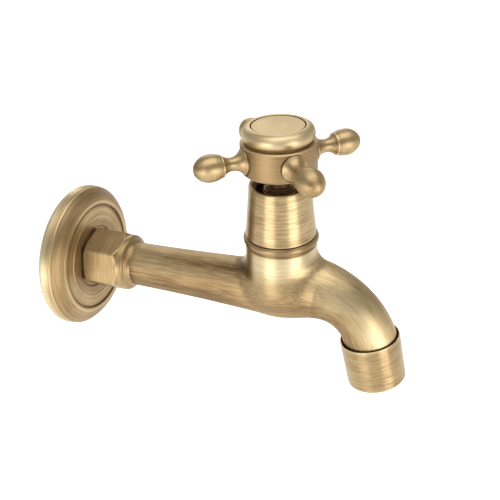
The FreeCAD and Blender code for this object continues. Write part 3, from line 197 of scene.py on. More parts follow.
def drawn_grain(tree):
    """Scratches along the casting's tube, which give way to turned ones on its neck, and the way they lie."""
    lanes = node(tree, "VectorMath", {0: measure(tree, "drawn", "Vector"), 1: DRAWN_SCALE}, operation="MULTIPLY")
    on_neck, share = measure(tree, "turned", "Vector"), measure(tree, "share")
    broad, hair = [node(tree, "Mix", {0: share, 2: node(tree, "TexNoise", {"Vector": lanes, **kind}),
                                      3: node(tree, "TexNoise", {"Vector": on_neck, **kind})})
                   for kind in (WIDE, FINE)]
    return broad, hair, measure(tree, "lay", "Vector")


print("scratches about", round(1 / (WIDE["Scale"] * LANE_SCALE), 1), "mm wide, with finer ones between")

# %% [markdown]
# The stain stays in the scratches and in the hollows, and the edges come out palest. So one number, the tone, is
# added up from the noises and from two measures that the meshes carry: one for worn edges, which also carries painted
# highlights and painted shade, and one for stain in hollows, which also carries painted shade. A ramp turns the tone
# into brown, bronze, gold or pale brass. The finish could also be painted by hand, but a sum fits every piece at once
# and stays the same when a shape changes.

# %% Tone of the brass
BROWN, BRONZE, GOLD, PALE = (0.10, 0.059, 0.028), (0.29, 0.192, 0.092), (0.48, 0.36, 0.19), (0.68, 0.56, 0.355)
BRONZE_AT, GOLD_AT = 0.32, 0.62
BROAD_TONE, HAIR_TONE, CLOUD_TONE, WEAR_LIGHT_TONE, STAIN_SHADE_TONE = 0.6, 0.45, 0.35, 0.38, -0.55
EDGE_REACH, EDGE_TONE = 0.45, 0.4


def tone(tree, place, broad, hair, stain_and_shade, tint, contrast, bright_heights):
    """The tone from 0, brown, to 1, pale; bands at the bright heights are painted highlights added by the shader
    itself.
    """
    cloud = node(tree, "TexNoise", {"Vector": place, "Scale": 0.07, "Detail": 2.0})
    level = tint
    for noise, strength in ((broad, BROAD_TONE * contrast), (hair, HAIR_TONE * contrast), (cloud, CLOUD_TONE)):
        level = sums(tree, noise, ("SUBTRACT", 0.5), ("MULTIPLY", strength), ("ADD", level))
    # The two measures add wear and stain, and with them painted highlights and painted shade.
    for amount, strength in ((measure(tree, "wear_and_light"), WEAR_LIGHT_TONE), (stain_and_shade, STAIN_SHADE_TONE)):
        level = sums(tree, amount, ("MULTIPLY", strength), ("ADD", level))
    # Bands at the bright heights are painted highlights.
    for height in bright_heights:
        away = sums(tree, node(tree, "SeparateXYZ", {0: place}, output="Z"), ("SUBTRACT", height), ("ABSOLUTE", 0))
        near = sums(tree, away, ("DIVIDE", -EDGE_REACH), ("ADD", 1), ("MAXIMUM", 0))
        level = sums(tree, near, ("MULTIPLY", EDGE_TONE), ("ADD", level))
    return level


def brass_ramp(tree, level):
    """The colour that belongs to a tone."""
    ramp = tree.nodes.new("ShaderNodeValToRGB")
    tree.links.new(level, ramp.inputs[0])
    stops = ramp.color_ramp.elements
    stops[0].color, stops[1].color = (*BROWN, 1), (*PALE, 1)
    stops.new(BRONZE_AT).color = (*BRONZE, 1)
    stops.new(GOLD_AT).color = (*GOLD, 1)
    return ramp.outputs[0]


print("brass from", BROWN, "to", PALE)

# %% [markdown]
# One recipe makes every outer finish, so that all pieces look as if they came from one workshop. The tone gives the
# colour, the fine scratches make the gloss uneven, and both scratches lift the surface by less than a tenth of a
# millimetre. Brushed metal draws each highlight out across the scratches. That is what the anisotropy does, once the
# shader knows which way they lie.

# %% Brushed brass
LIFT = 0.1 * MM


def brass(name, grain="turned", centre=0.0, own_lane=True, tint=0.5, contrast=1.0, scratch=0.3, rough=0.3,
          anisotropic=0.75, bright_heights=()):
    """Brushed antique brass: grain is turned or drawn, tint 0 is brown and 1 pale, and scratch is their depth."""
    made, tree, shader = new_material(name)
    place = node(tree, "VectorMath", {0: node(tree, "TexCoord", output="Object"), "Scale": 1 / MM}, operation="SCALE")
    broad, hair, lie = turned_grain(tree, place, centre, own_lane) if grain == "turned" else drawn_grain(tree)
    stain_and_shade = measure(tree, "stain_and_shade")
    level = tone(tree, place, broad, hair, stain_and_shade, tint, contrast, bright_heights)
    tree.links.new(brass_ramp(tree, level), shader.inputs["Base Color"])
    shader.inputs["Metallic"].default_value = 1.0
    shader.inputs["Anisotropic"].default_value = anisotropic
    shader.inputs["Anisotropic Rotation"].default_value = 0.25
    tree.links.new(lie, shader.inputs["Tangent"])
    gloss = sums(tree, hair, ("SUBTRACT", 0.5), ("MULTIPLY", 0.2), ("ADD", rough + 0.06))
    gloss = sums(tree, stain_and_shade, ("MULTIPLY", 0.18), ("ADD", gloss))
    tree.links.new(gloss, shader.inputs["Roughness"])
    height = sums(tree, broad, ("MULTIPLY", 0.6), ("ADD", sums(tree, hair, ("MULTIPLY", 0.4))))
    lift = node(tree, "Bump", {"Strength": scratch, "Distance": LIFT, "Height": height})
    tree.links.new(lift, shader.inputs["Normal"])
    return made


print("scratches lift the surface by up to", LIFT / MM, "mm")

# %% [markdown]
# Most of the tap is turned, and a turned part is a profile swept round an axis. A profile is written as its corners,
# each a place along the axis and a radius. Two more numbers make the way to a corner an arc: its radius, and on
# which side its centre lies. That is how a turner's drawing gives it, so the solids' own measures can be used.

# %% Points of a profile
def arc_between(start, end, radius, side):
    """Points inside an arc; side 1 has its centre at the left of the way from start to end."""
    chord = end - start
    half = np.hypot(*chord) / 2
    left = np.array((-chord[1], chord[0])) / (2 * half)
    centre = (start + end) / 2 + left * side * math.sqrt(max(radius ** 2 - half ** 2, 0))
    first = math.atan2(*(start - centre)[::-1])
    sweep = 2 * math.asin(min(half / radius, 1)) * side
    count = max(int(abs(sweep) / 0.1), int(abs(sweep) * radius / 0.6), 2)
    return [centre + radius * np.array((math.cos(first + sweep * k / count), math.sin(first + sweep * k / count)))
            for k in range(1, count)]


def profile_points(corners, upright):
    """All points of a profile; an upright one is written as radius and height, and is turned round here."""
    points = []
    for number, corner in enumerate(corners):
        here = np.array(corner[:2], float)
        if len(corner) == 4:
            points += arc_between(np.array(corners[number - 1][:2], float), here, *corner[2:])
        points.append(here)
    return np.array(points)[:, ::-1] if upright else np.array(points)


print("a quarter arc of 3 mm gets", len(arc_between(np.zeros(2), np.array((3.0, 3.0)), 3.0, 1)), "points inside")

# %% [markdown]
# No brushed edge is quite sharp. A bevel modifier could round the edges, but it would also need the normals mended.
# Here each corner of the profile gets a small curve with its exact tangents, so that it catches a fine line of
# light. How far each corner bends is noted, because outward corners get worn and inward ones keep their stain.

# %% Easing the corners
SMOOTH_BEND = 0.2


def eased(points, soft, open_ends):
    """Rows of place, tangent and bend, with each corner sharper than SMOOTH_BEND drawn out over a length."""
    way = np.roll(points, -1, 0) - points
    size = np.hypot(way[:, 0], way[:, 1])
    way = way / size[:, None]
    rows = []
    for k, point in enumerate(points):
        before, after = way[k - 1], way[k]
        if open_ends and k in (0, len(points) - 1):
            rows.append((point, after if k == 0 else before, 0))
            continue
        bend = math.atan2(before[0] * after[1] - before[1] * after[0], before @ after)
        if abs(bend) < SMOOTH_BEND:
            rows.append((point, (before + after) / np.hypot(*(before + after)), 0))
            continue
        cut = min(soft, 0.45 * size[k - 1], 0.45 * size[k])
        start, end = point - before * cut, point + after * cut
        for u in (0, 0.25, 0.5, 0.75, 1):
            tangent = (1 - u) * before + u * after
            rows.append(((1 - u) ** 2 * start + 2 * u * (1 - u) * point + u * u * end,
                         tangent / max(np.hypot(*tangent), 1e-9), bend))
    return rows


def sampled(corners, upright, soft, step):
    """A profile in even steps: places, tangents, bends, and whether it ends on the axis at both ends."""
    points = profile_points(corners, upright)
    open_ends = points[0][1] < 1e-6 and points[-1][1] < 1e-6
    rows = eased(points, soft, open_ends)
    full = []
    for k, row in enumerate(rows):
        full.append(row)
        if open_ends and k == len(rows) - 1:
            break
        after = rows[(k + 1) % len(rows)]
        parts = int(np.hypot(*(after[0] - row[0])) / step) + 1
        for part in range(1, parts):
            share = part / parts
            tangent = (1 - share) * row[1] + share * after[1]
            full.append(((1 - share) * row[0] + share * after[0], tangent / np.hypot(*tangent), 0))
    place, tangent, bend = (np.array(column) for column in zip(*full))
    return place, tangent, bend, open_ends


print("corners that bend by more than", round(math.degrees(SMOOTH_BEND)), "degrees are eased")

# %% [markdown]
# Each skin is made straight from lists of points and faces, which is quicker and more exact than modelling tools.
# It takes its normals from the shape's own formula, so that reflections run smoothly over it, and carries its
# measures as attributes, where the materials find them.

# %% Meshes and their places
def finish_mesh(name, vertices, faces, normals, measures):
    """A smooth mesh object with its own normals and measures, before it is placed."""
    data = bpy.data.meshes.new(name)
    data.from_pydata(vertices.tolist(), [], faces)
    data.polygons.foreach_set("use_smooth", [True] * len(data.polygons))
    for key, values in measures.items():
        kind, field = ("FLOAT_VECTOR", "vector") if values.ndim == 2 else ("FLOAT", "value")
        data.attributes.new(key, kind, "POINT").data.foreach_set(field, values.astype(np.float32).ravel())
    data.normals_split_custom_set_from_vertices(normals.tolist())
    made = bpy.data.objects.new(name, data)
    scene.collection.objects.link(made)
    return made


def frame_at(place, axis, first):
    """Matrix with its z along axis and its x along first, at a place in millimetres."""
    axis, first = Vector(axis).normalized(), Vector(first).normalized()
    return Matrix.Translation(Vector(place) * MM) @ Matrix((first, axis.cross(first), axis)).transposed().to_4x4()


VALVE_X = 99.7
ON_WALL = frame_at((0, 0, 0), (1, 0, 0), (0, 1, 0))
ON_VALVE = frame_at((VALVE_X, 0, 0), (0, 0, 1), (1, 0, 0))
print("the valve's axis stands", VALVE_X, "mm from the wall")

# %% [markdown]
# Sweeping is the lathe of this lesson: the profile is copied round the axis and neighbours are joined by faces. A
# screw modifier would do that too, but here each point also learns its lane, which is how far along the profile it
# lies, and how worn or stained it is. Extra marks are given as rows of along, radius, reach and strength, where a
# strength below zero makes the metal paler. Some rows are real stain or wear, others are painted shade or painted
# highlight.

# %% Sweeping a profile
FULL_BEND, WORN_REACH, STAIN_REACH = 1.2, 0.3, 0.8


def wear_stain_and_light(place, lane, bend, marks, stain_and_light_spots):
    """How worn and stained each point of a profile is, plus the painted shade and highlights of the extra marks."""
    apart = np.abs(lane[:, None] - lane[None, :])
    wear_and_light = marks * np.max(np.clip(bend / FULL_BEND, 0, 1)[None, :] * np.exp(-(apart / WORN_REACH) ** 2), 1)
    stain_and_shade = marks * np.max(np.clip(-bend / FULL_BEND, 0, 1)[None, :] * np.exp(-(apart / STAIN_REACH) ** 2), 1)
    for along, radius, reach, strength in stain_and_light_spots:
        mark = strength * np.exp(-((place[:, 0] - along) ** 2 + (place[:, 1] - radius) ** 2) / reach ** 2)
        stain_and_shade, wear_and_light = stain_and_shade + np.maximum(mark, 0), wear_and_light + np.maximum(-mark, 0)
    return wear_and_light, stain_and_shade


def turned_part(name, corners, upright=False, soft=0.15, step=0.6, sides=168, stain_and_light_spots=(), at=ON_VALVE, marks=1.0):
    """Sweeps a profile round the z axis of a frame; a point on the axis is made once."""
    place, tangent, bend, open_ends = sampled(corners, upright, soft, step)
    x, r = place[:, 0], place[:, 1]
    turning = np.sign(np.sum(x * np.roll(r, -1) - np.roll(x, -1) * r))
    outward = np.stack((tangent[:, 1], -tangent[:, 0]), 1) * turning
    lane = np.concatenate(([0], np.cumsum(np.hypot(np.diff(x), np.diff(r)))))
    wear_and_light, stain_and_shade = wear_stain_and_light(place, lane, bend * turning, marks, stain_and_light_spots)
    angle = np.arange(sides) * 2 * math.pi / sides
    index, vertices, normals, owner = [], [], [], []
    for k in range(len(x)):
        on_axis = r[k] < 1e-6
        index.append([len(vertices) + (0 if on_axis else j) for j in range(sides)])
        for a in angle[:1] if on_axis else angle:
            vertices.append((r[k] * math.cos(a), r[k] * math.sin(a), x[k]))
            normals.append((outward[k, 1] * math.cos(a), outward[k, 1] * math.sin(a), outward[k, 0]))
            owner.append(k)
    faces = []
    for k in range(len(x) - (1 if open_ends else 0)):
        a, b = index[k], index[(k + 1) % len(x)]
        for j in range(sides):
            ring = [a[j], b[j], b[(j + 1) % sides], a[(j + 1) % sides]]
            ring = [v for n, v in enumerate(ring) if v not in ring[:n]]
            faces.append(ring if turning > 0 else ring[::-1])
    made = finish_mesh(name, np.array(vertices) * MM, faces, np.array(normals),
                       {"lane": lane[owner], "wear_and_light": wear_and_light[owner], "stain_and_shade": stain_and_shade[owner]})
    made.matrix_world = at
    return made


def dressed(made, finish, slot, body, *nodes):
    """Gives a piece its finish and its body, and hides the solids it stands for; the slot is not used."""
    made.data.materials.clear()
    made.data.materials.append(finish)
    if nodes:
        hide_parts(*nodes)
    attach(made, body)
    print(made.name, len(made.data.vertices), "vertices")


print("lathe ready")

# %% [markdown]
# The wall flange is a pressed shell with a rolled rim, two fine lines round it, a swelling up to a crest and a
# turned disc inside. It could be drawn flat and lifted by a height map, but the lines need true edges to catch the
# light, so they are in the profile. The stain sits in the lines, in the groove inside the crest and all over the
# swelling, which the brush reached least. Round the hexagon's foot the disc gets painted shade, and the rim is made
# palest, partly wear and partly painted highlight.

# %% Wall flange
flange_profile = [
    (0, 28.7), (2.6, 31.5, 4.01, -1), (5.7, 31.4, 30, -1), (5.9, 31.15), (6.1, 31.15), (6.3, 31.3),
    (7.0, 30.95, 2.5, -1), (7.1, 30.55), (7.3, 30.55), (7.4, 30.6), (10.4, 26.0, 8.79, -1), (10.7, 25.3, 0.9, -1),
    (10.7, 23.8), (10.2, 23.7), (10.2, 23.4), (10.35, 23.2), (10.35, 19.2), (10.6, 18.7), (10.6, 18.2),
    (10.35, 17.6), (10.35, 14.0), (10.05, 13.7, 0.3, -1), (10.0, 13.7), (10.0, 10.36), (8.7, 10.36), (8.7, 14.6),
    (8.855, 15.5), (8.855, 22.9), (8.45, 24.9), (5.8, 29.0, 9.34, 1), (2.6, 29.9), (0, 27.3)]
# The row at (10.4, 15.6) is painted shade round the hexagon's foot; the row at (2.6, 31.5) is wear and painted
# highlight.
flange = turned_part("flange", flange_profile, sides=216, at=ON_WALL, marks=0.45, stain_and_light_spots=[
    (9.0, 29.0, 1.8, 0.32), (10.2, 27.2, 1.0, 0.22), (10.3, 23.6, 0.9, 0.5), (10.4, 21.6, 1.6, 0.15),
    (10.4, 15.6, 2.2, 0.35), (2.6, 31.5, 2.6, -1.1), (6.6, 31.2, 0.5, -0.5), (10.7, 25.0, 0.5, -0.5)])
flange_brass = brass("flange_brass", tint=0.52, contrast=0.9, rough=0.34, anisotropic=0.6)
dressed(flange, flange_brass, "flange_brass", "tap", "wall_flange")

# %% [markdown]
# The bonnet sleeve tapers up to a thin lip with a bevel inside it. It was brushed while turning, which leaves the
# strongest scratches of all, level lines right round it. The bead below it belongs to the casting but was turned
# on it, so it is swept as well, together with the spigot that shows as a dark seam.

# %% Bonnet sleeve and bead
sleeve_profile = [
    (12.66, 27.0), (13.85, 27.0), (14.1, 27.25), (12.1, 47.9), (11.6, 48.4, 0.51, 1), (11.2, 48.4), (9.5, 46.8),
    (9.5, 44.8), (10.1, 44.8), (11.1, 43.8), (11.1, 34.4), (12.66, 34.4)]
# The two marks inside the lip and down the bore paint the opening darker, as shade.
sleeve = turned_part("bonnet_sleeve_skin", sleeve_profile, upright=True, stain_and_light_spots=[
    (47.4, 10.2, 1.1, 0.9), (45.5, 9.5, 1.6, 1.2), (27.7, 14.1, 0.7, 0.3)])
sleeve_brass = brass("sleeve_brass", tint=0.54, contrast=1.8, scratch=0.4, rough=0.29)
dressed(sleeve, sleeve_brass, "sleeve_brass", "tap", "bonnet_sleeve")

bead_profile = [
    (11.3, 20.5), (14.26, 21.0), (14.3, 22.7), (13.9, 23.6, 1.2, -1), (15.1, 25.3, 1.8, 1), (14.38, 26.74, 1.8, 1),
    (12.6, 26.74), (12.6, 33.4), (12.0, 34.0), (11.3, 34.0)]
bead = turned_part("bead", bead_profile, upright=True, marks=0.3, stain_and_light_spots=[
    (26.9, 13.6, 0.7, 0.3), (21.8, 14.3, 1.6, -0.6)])
bead_brass = brass("bead_brass", tint=0.38, contrast=0.9, rough=0.34)
dressed(bead, bead_brass, "body_brass", "tap")

# %% [markdown]
# The casting is one flowing skin: a tube along a bent spine, an upright neck that ends below in the belly, and
# between them the round fillet of the mould. Joining two meshes leaves a crease there, and smoothing it away
# changes the measures. So the skin is built from distances instead. This cell lays the spine, a straight and three
# arcs, and gives the tube's radius along it.

# %% Spine of the casting
BARREL_FROM, BARREL_TO = 31.5, 89.34
BENDS = ((80.2, 0, 14.75), (16.1, 14.75, -8.0), (25.3, -8.0, -79.5))
OUTLET = (137.059, -15.269)
TILT = math.radians(10.5)
SPINE = []


def add_bend(radius, start, end):
    """Adds an arc of the spine between two slopes, in radians above the level."""
    x, z, length = SPINE[-1]["end"] if SPINE else (BARREL_TO, 0.0, BARREL_TO)
    side = 1 if end > start else -1
    centre = np.array((x - side * radius * math.sin(start), z + side * radius * math.cos(start)))
    stop = centre + side * radius * np.array((math.sin(end), -math.cos(end)))
    SPINE.append({"centre": centre, "radius": radius, "side": side, "slopes": (start, end), "from": length,
                  "end": (*stop, length + radius * abs(end - start))})


for radius, start, end in BENDS:
    add_bend(radius, math.radians(start), math.radians(end))


def tube_radius(along):
    """Radius of the tube at a length of the spine: it grows through barrel and rise, and narrows to the outlet."""
    ends = [BARREL_TO] + [bend["end"][2] for bend in SPINE]
    barrel, rise, crest, drop = [np.clip((along - start) / (end - start), 0, 1)
                                 for start, end in zip([BARREL_FROM] + ends, ends)]
    radius = 9.42 + 1.83 * (0.24 * barrel + 0.76 * barrel ** 2)
    radius = radius + 1.04 * (2 * rise - rise ** 2)
    radius = radius - 0.14 * crest
    return radius - 0.85 * drop - 4.8 * drop * (1 - drop)


print("spine ends at", [round(float(v), 2) for v in SPINE[-1]["end"]])

# %% [markdown]
# For any place near the tap, the nearest point of the spine is looked for on the straight, on each arc and on a
# short run into the outlet, and the closest wins. From it follows how far the place is outside the tube. The neck is
# a cylinder that ends below in half an egg, and the distance from it comes from one formula.

# %% Distances from the tube and the neck
NECK_R, BELLY_Z, BELLY_DROP = 14.3, 8.0, 17.0


def on_spine(places):
    """Nearest point of the spine, its slope and its length, for places given as rows."""
    flat = places[:, (0, 2)]
    x = np.clip(flat[:, 0], 20, BARREL_TO)
    near, slope, along = np.stack((x, 0 * x), 1), 0 * x, x.copy()
    away = np.hypot(*(flat - near).T)

    def keep(spots, slopes, lengths):
        gap = np.hypot(*(flat - spots).T)
        closer = gap < away
        near[closer], slope[closer], along[closer], away[closer] = (
            spots[closer], slopes[closer], lengths[closer], gap[closer])

    for bend in SPINE:
        off = (flat - bend["centre"]) * bend["side"]
        low, high = sorted(bend["slopes"])
        slopes = np.clip(np.arctan2(off[:, 0], -off[:, 1]), low, high)
        spots = bend["centre"] + bend["side"] * bend["radius"] * np.stack((np.sin(slopes), -np.cos(slopes)), 1)
        keep(spots, slopes, bend["from"] + bend["radius"] * np.abs(slopes - bend["slopes"][0]))
    x, z, length = SPINE[-1]["end"]
    last = SPINE[-1]["slopes"][1]
    way = np.array((math.cos(last), math.sin(last)))
    run = np.clip((flat - (x, z)) @ way, 0, 12)
    keep(np.array((x, z)) + run[:, None] * way, np.full(len(run), last), length + run)
    return near, slope, along


def from_tube(places):
    near, _, along = on_spine(places)
    return np.sqrt((places[:, 0] - near[:, 0]) ** 2 + places[:, 1] ** 2
                   + (places[:, 2] - near[:, 1]) ** 2) - tube_radius(along)


def from_neck(places):
    off = places - (VALVE_X, 0, BELLY_Z)
    low = np.minimum(off[:, 2], 0)
    size = np.sqrt((off[:, 0] ** 2 + off[:, 1] ** 2) / NECK_R ** 2 + (low / BELLY_DROP) ** 2)
    rate = np.sqrt((off[:, 0] ** 2 + off[:, 1] ** 2) / NECK_R ** 4 + low ** 2 / BELLY_DROP ** 4)
    return size * (size - 1) / np.maximum(rate, 1e-9)


def gradient(distance, places):
    """Direction in which a distance grows, from small steps along each axis."""
    grown = np.empty_like(places)
    for axis in range(3):
        step = np.zeros(3)
        step[axis] = 0.02
        grown[:, axis] = (distance(places + step) - distance(places - step)) / 0.04
    return grown / np.maximum(np.linalg.norm(grown, axis=1), 1e-9)[:, None]


before_neck = np.array([[VALVE_X, -NECK_R - 10, 15.0]])
print("a place 10 mm before the neck measures", round(float(from_neck(before_neck)[0]), 1), "mm")

# %% [markdown]
# The fillet is where a ball rolling in the corner would touch both the tube and the neck. For a place near the
# corner the ball's centre is found by stepping until it is 8 mm from both, and the skin lies 8 mm from that
# centre. This gives the same round corner as the mould's, where a smoothing brush would only come near to it.

# %% The fillet
FILLET = 8.0


def leans(ball):
    """Directions away from the tube and from the neck, how alike they are, and how well they can be told apart."""
    a, b = gradient(from_tube, ball), gradient(from_neck, ball)
    lean = np.sum(a * b, 1)
    return a, b, lean, np.maximum(1 - lean ** 2, 0.02)


def fillet_ball(places):
    """Centres of the balls that touch both the tube and the neck, one for each place."""
    ball = places.copy()
    for _ in range(7):
        a, b, lean, whole = leans(ball)
        need = FILLET - from_tube(ball), FILLET - from_neck(ball)
        ball += (((need[0] - lean * need[1]) / whole)[:, None] * a
                 + ((need[1] - lean * need[0]) / whole)[:, None] * b)
    return ball


def in_fillet(places, value):
    """Which places lie in the ball's corner, with the way back to its centre and the length of that way."""
    ball = fillet_ball(places)
    a, b, lean, whole = leans(ball)
    back = ball - places
    along_a, along_b = np.sum(back * a, 1), np.sum(back * b, 1)
    share_a, share_b = (along_a - lean * along_b) / whole, (along_b - lean * along_a) / whole
    reach = np.linalg.norm(back, axis=1)
    exact = np.maximum(np.abs(from_tube(ball) - FILLET), np.abs(from_neck(ball) - FILLET)) < 0.05
    held = (share_a > 0) & (share_b > 0) & exact & (whole > 0.03) & (reach < 2.5 * FILLET)
    return held & (FILLET - reach < value), back, reach


print("fillet of", FILLET, "mm")

# %% [markdown]
# Outside the ball's reach the skin is the nearer of the two shapes. Where they run into each other under the belly
# they are blended over a few millimetres, as the mould does. Three flat cuts end it: behind the collar, under the
# bead and inside the outlet.

# %% The casting's skin as a distance
SOFT = 4.5
CUT_X, CUT_Z, CUT_OUTLET = 31.2, 22.9, 2.3


def skin_distance(places):
    """How far places are outside the casting, and which way is out."""
    tube, neck = from_tube(places), from_neck(places)
    tube_way, neck_way = gradient(from_tube, places), gradient(from_neck, places)
    lean = np.clip(0.5 + 0.5 * (neck - tube) / SOFT, 0, 1)[:, None]
    value = tube * lean[:, 0] + neck * (1 - lean[:, 0]) - SOFT * lean[:, 0] * (1 - lean[:, 0])
    way = tube_way * lean + neck_way * (1 - lean)
    way /= np.maximum(np.linalg.norm(way, axis=1), 1e-9)[:, None]
    near = np.where((np.abs(tube) < FILLET) & (np.abs(neck) < FILLET) & (places[:, 2] > -12))[0]
    held, back, reach = in_fillet(places[near], value[near])
    value[near[held]] = FILLET - reach[held]
    way[near[held]] = back[held] / np.maximum(reach[held], 1e-6)[:, None]
    tip = np.array((OUTLET[0], 0, OUTLET[1]))
    down = np.array((math.sin(TILT), 0, -math.cos(TILT)))
    for cut, out in ((CUT_X - places[:, 0], (-1, 0, 0)), (places[:, 2] - CUT_Z, (0, 0, 1)),
                     ((places - tip) @ down - CUT_OUTLET, down)):
        over = cut > value
        value[over], way[over] = cut[over], np.array(out, float)
    return value, way


print("cuts at x", CUT_X, "and z", CUT_Z, "mm")

# %% [markdown]
# The skin needs an even mesh to start from. Rings along the spine and round the neck make two rough hulls, and a
# voxel remesh joins them into one mesh of even squares, which the next step moves onto the true skin.

# %% Rough mesh of the casting
RING, VOXEL = 48, 0.62


def tube_rings():
    rings = []
    for along in np.arange(30.0, SPINE[-1]["end"][2] + 2.0, 1.5):
        if along < BARREL_TO:
            x, z, slope = along, 0.0, 0.0
        else:
            bend = [b for b in SPINE if along >= b["from"]][-1]
            turned = min((along - bend["from"]) / bend["radius"], abs(bend["slopes"][1] - bend["slopes"][0]))
            slope = bend["slopes"][0] + bend["side"] * turned
            x, z = bend["centre"] + bend["side"] * bend["radius"] * np.array((math.sin(slope), -math.cos(slope)))
        radius = float(tube_radius(np.array([along]))[0])
        rings.append([(x - math.sin(slope) * radius * math.cos(a), radius * math.sin(a),
                       z + math.cos(slope) * radius * math.cos(a)) for a in np.arange(RING) * 2 * math.pi / RING])
    return rings


def neck_rings():
    rings = []
    for z in [BELLY_Z - BELLY_DROP * math.cos(a) for a in np.linspace(0.05, math.pi / 2, 14)] + [15.0, CUT_Z]:
        radius = NECK_R * math.sqrt(max(1 - (min(z - BELLY_Z, 0) / BELLY_DROP) ** 2, 0))
        rings.append([(VALVE_X + radius * math.cos(a), radius * math.sin(a), z)
                      for a in np.arange(RING) * 2 * math.pi / RING])
    return rings


def rough_skin():
    """Both hulls, joined into one even mesh."""
    made = bmesh.new()
    for rings in (tube_rings(), neck_rings()):
        grid = [[made.verts.new(spot) for spot in ring] for ring in rings]
        for lower, upper in zip(grid, grid[1:]):
            for j in range(RING):
                made.faces.new((lower[j], lower[(j + 1) % RING], upper[(j + 1) % RING], upper[j]))
        made.faces.new(grid[0][::-1])
        made.faces.new(grid[-1])
    bmesh.ops.recalc_face_normals(made, faces=made.faces)
    data = bpy.data.meshes.new("rough_skin")
    made.to_mesh(data)
    made.free()
    rough = bpy.data.objects.new("rough_skin", data)
    scene.collection.objects.link(rough)
    remesh = rough.modifiers.new("even", "REMESH")
    remesh.mode, remesh.voxel_size = "VOXEL", VOXEL
    even = bpy.data.meshes.new_from_object(rough.evaluated_get(bpy.context.evaluated_depsgraph_get()))
    bpy.data.objects.remove(rough)
    return even


even = rough_skin()
print("rough mesh of", len(even.vertices), "vertices")

# %% [markdown]
# Every vertex is now moved onto the skin, a little at a time, with some smoothing along the surface in between so
# that the squares stay even. The last turns only move, so that the mesh ends on its true shape.

# %% Settle the mesh on the skin
def settled(places, pairs):
    """Places on the skin, after fourteen turns of moving, seven of them smoothed first."""
    for turn in range(14):
        if 2 < turn < 10:
            total, count = np.zeros_like(places), np.zeros(len(places))
            for one, other in ((0, 1), (1, 0)):
                np.add.at(total, pairs[:, one], places[pairs[:, other]])
                np.add.at(count, pairs[:, one], 1)
            places = 0.5 * places + 0.5 * total / count[:, None]
        value, way = skin_distance(places)
        places = places - np.clip(value, -1.0, 1.0)[:, None] * way
    return places


rough_places = np.zeros(len(even.vertices) * 3)
even.vertices.foreach_get("co", rough_places)
places = settled(rough_places.reshape(-1, 3), np.array([tuple(edge.vertices) for edge in even.edges]))
faces = [tuple(face.vertices) for face in even.polygons]
bpy.data.meshes.remove(even)
value, outward = skin_distance(places)
print("casting lies within", round(float(np.abs(value).max()), 3), "mm of its shape")

# %% [markdown]
# A founder brushes the tube lengthwise and the neck round and round. These
# measures tell the material so: along the tube, round the neck, and how much of each between them. Facing is the
# angle round the tube, 0 at its front and 90 on top. The stain stays in the fillet's hollow and at the seams. A dark
# band high along the barrel and the darker front and underside are painted shade, and the paler upper neck and the
# front of the spout are painted highlight.

# %% Finish of the casting
def bump(values, middle, width):
    """1 at the middle, falling off on both sides."""
    return np.exp(-((values - middle) / width) ** 2)


def casting_measures(places):
    near, slope, along = on_spine(places)
    height = (places[:, 2] - near[:, 1]) * np.cos(slope) - (places[:, 0] - near[:, 0]) * np.sin(slope)
    off = places - (VALVE_X, 0, 0)
    ring = off[:, :2] / np.maximum(np.hypot(off[:, 0], off[:, 1]), 1e-6)[:, None]
    share = np.clip((from_tube(places) - 0.1) / 6.0, 0, 1)
    share = share * share * (3 - 2 * share)
    lay = np.stack((np.cos(slope), 0 * slope, np.sin(slope)), 1)
    round_way = np.stack((-ring[:, 1], ring[:, 0], 0 * slope), 1)
    round_way *= np.sign(np.sum(round_way * lay, 1) + 1e-9)[:, None]
    lay = lay * (1 - share[:, None]) + round_way * share[:, None]
    facing = np.degrees(np.arctan2(height, -places[:, 1]))
    barrel = np.clip((places[:, 0] - 34) / 30, 0, 1) * np.clip((94 - places[:, 0]) / 10, 0, 1)
    # Painted shade: a dark band high along the barrel, and a darker front and underside.
    painted_dark_band = 0.55 * barrel * bump(facing, 60, 11)
    painted_underside_shade = np.clip((35 - facing) / 45, 0, 1) * (0.55 - 0.22 * bump(along, 100, 14))
    hollow = np.clip(1 - np.abs(from_tube(places) - from_neck(places)) / 5, 0, 1) * np.clip(places[:, 2] / 8 - 1, 0, 1)
    seam = 0.15 * bump(places[:, 2], CUT_Z, 1.2) + 0.3 * bump(places[:, 0], 32.5, 1.5)
    # Painted highlight on the front of the spout.
    spout_painted_highlight = np.clip((along - 112) / 12, 0, 1) * bump(facing, 25, 45)
    return {"drawn": np.stack((along, places[:, 1], height), 1), "share": share, "lay": lay,
            "turned": np.concatenate((ring * 0.8, off[:, 2:] * 1.5), 1),
            "stain_and_shade": 0.12 * hollow + seam + painted_dark_band + painted_underside_shade,
            # The upper neck and the front of the spout are painted highlight.
            "wear_and_light": 1.1 * share * np.clip((places[:, 2] - 10) / 6, 0, 1) + 0.75 * spout_painted_highlight}


casting = finish_mesh("casting", places * MM, faces, outward, casting_measures(places))
body_brass = brass("body_brass", grain="drawn", tint=0.5, contrast=1.1, scratch=0.35, rough=0.34)
dressed(casting, body_brass, "body_brass", "tap", "tap_body")

# %% [markdown]
# The hexagon takes the spanner. It is swept like the turned parts, but its radius also changes round the axis: six
# flats with a bevel at both ends. A plain six-sided prism would have dead sharp edges. Taking the least of the
# flats' and bevels' radii, with a soft minimum, rounds all edges at once.

# %% Hexagon
HALF_FLATS, EDGE_SOFT = 12, 0.16
FIRST_FLAT = math.radians(20)
HEXAGON_ENDS = {10.79: 10.0, 26.91: 11.5}


def soft_least(choices, blend):
    """The least of several radii, with the corners between them rounded."""
    return -blend * np.log(sum(np.exp(-choice / blend) for choice in choices))


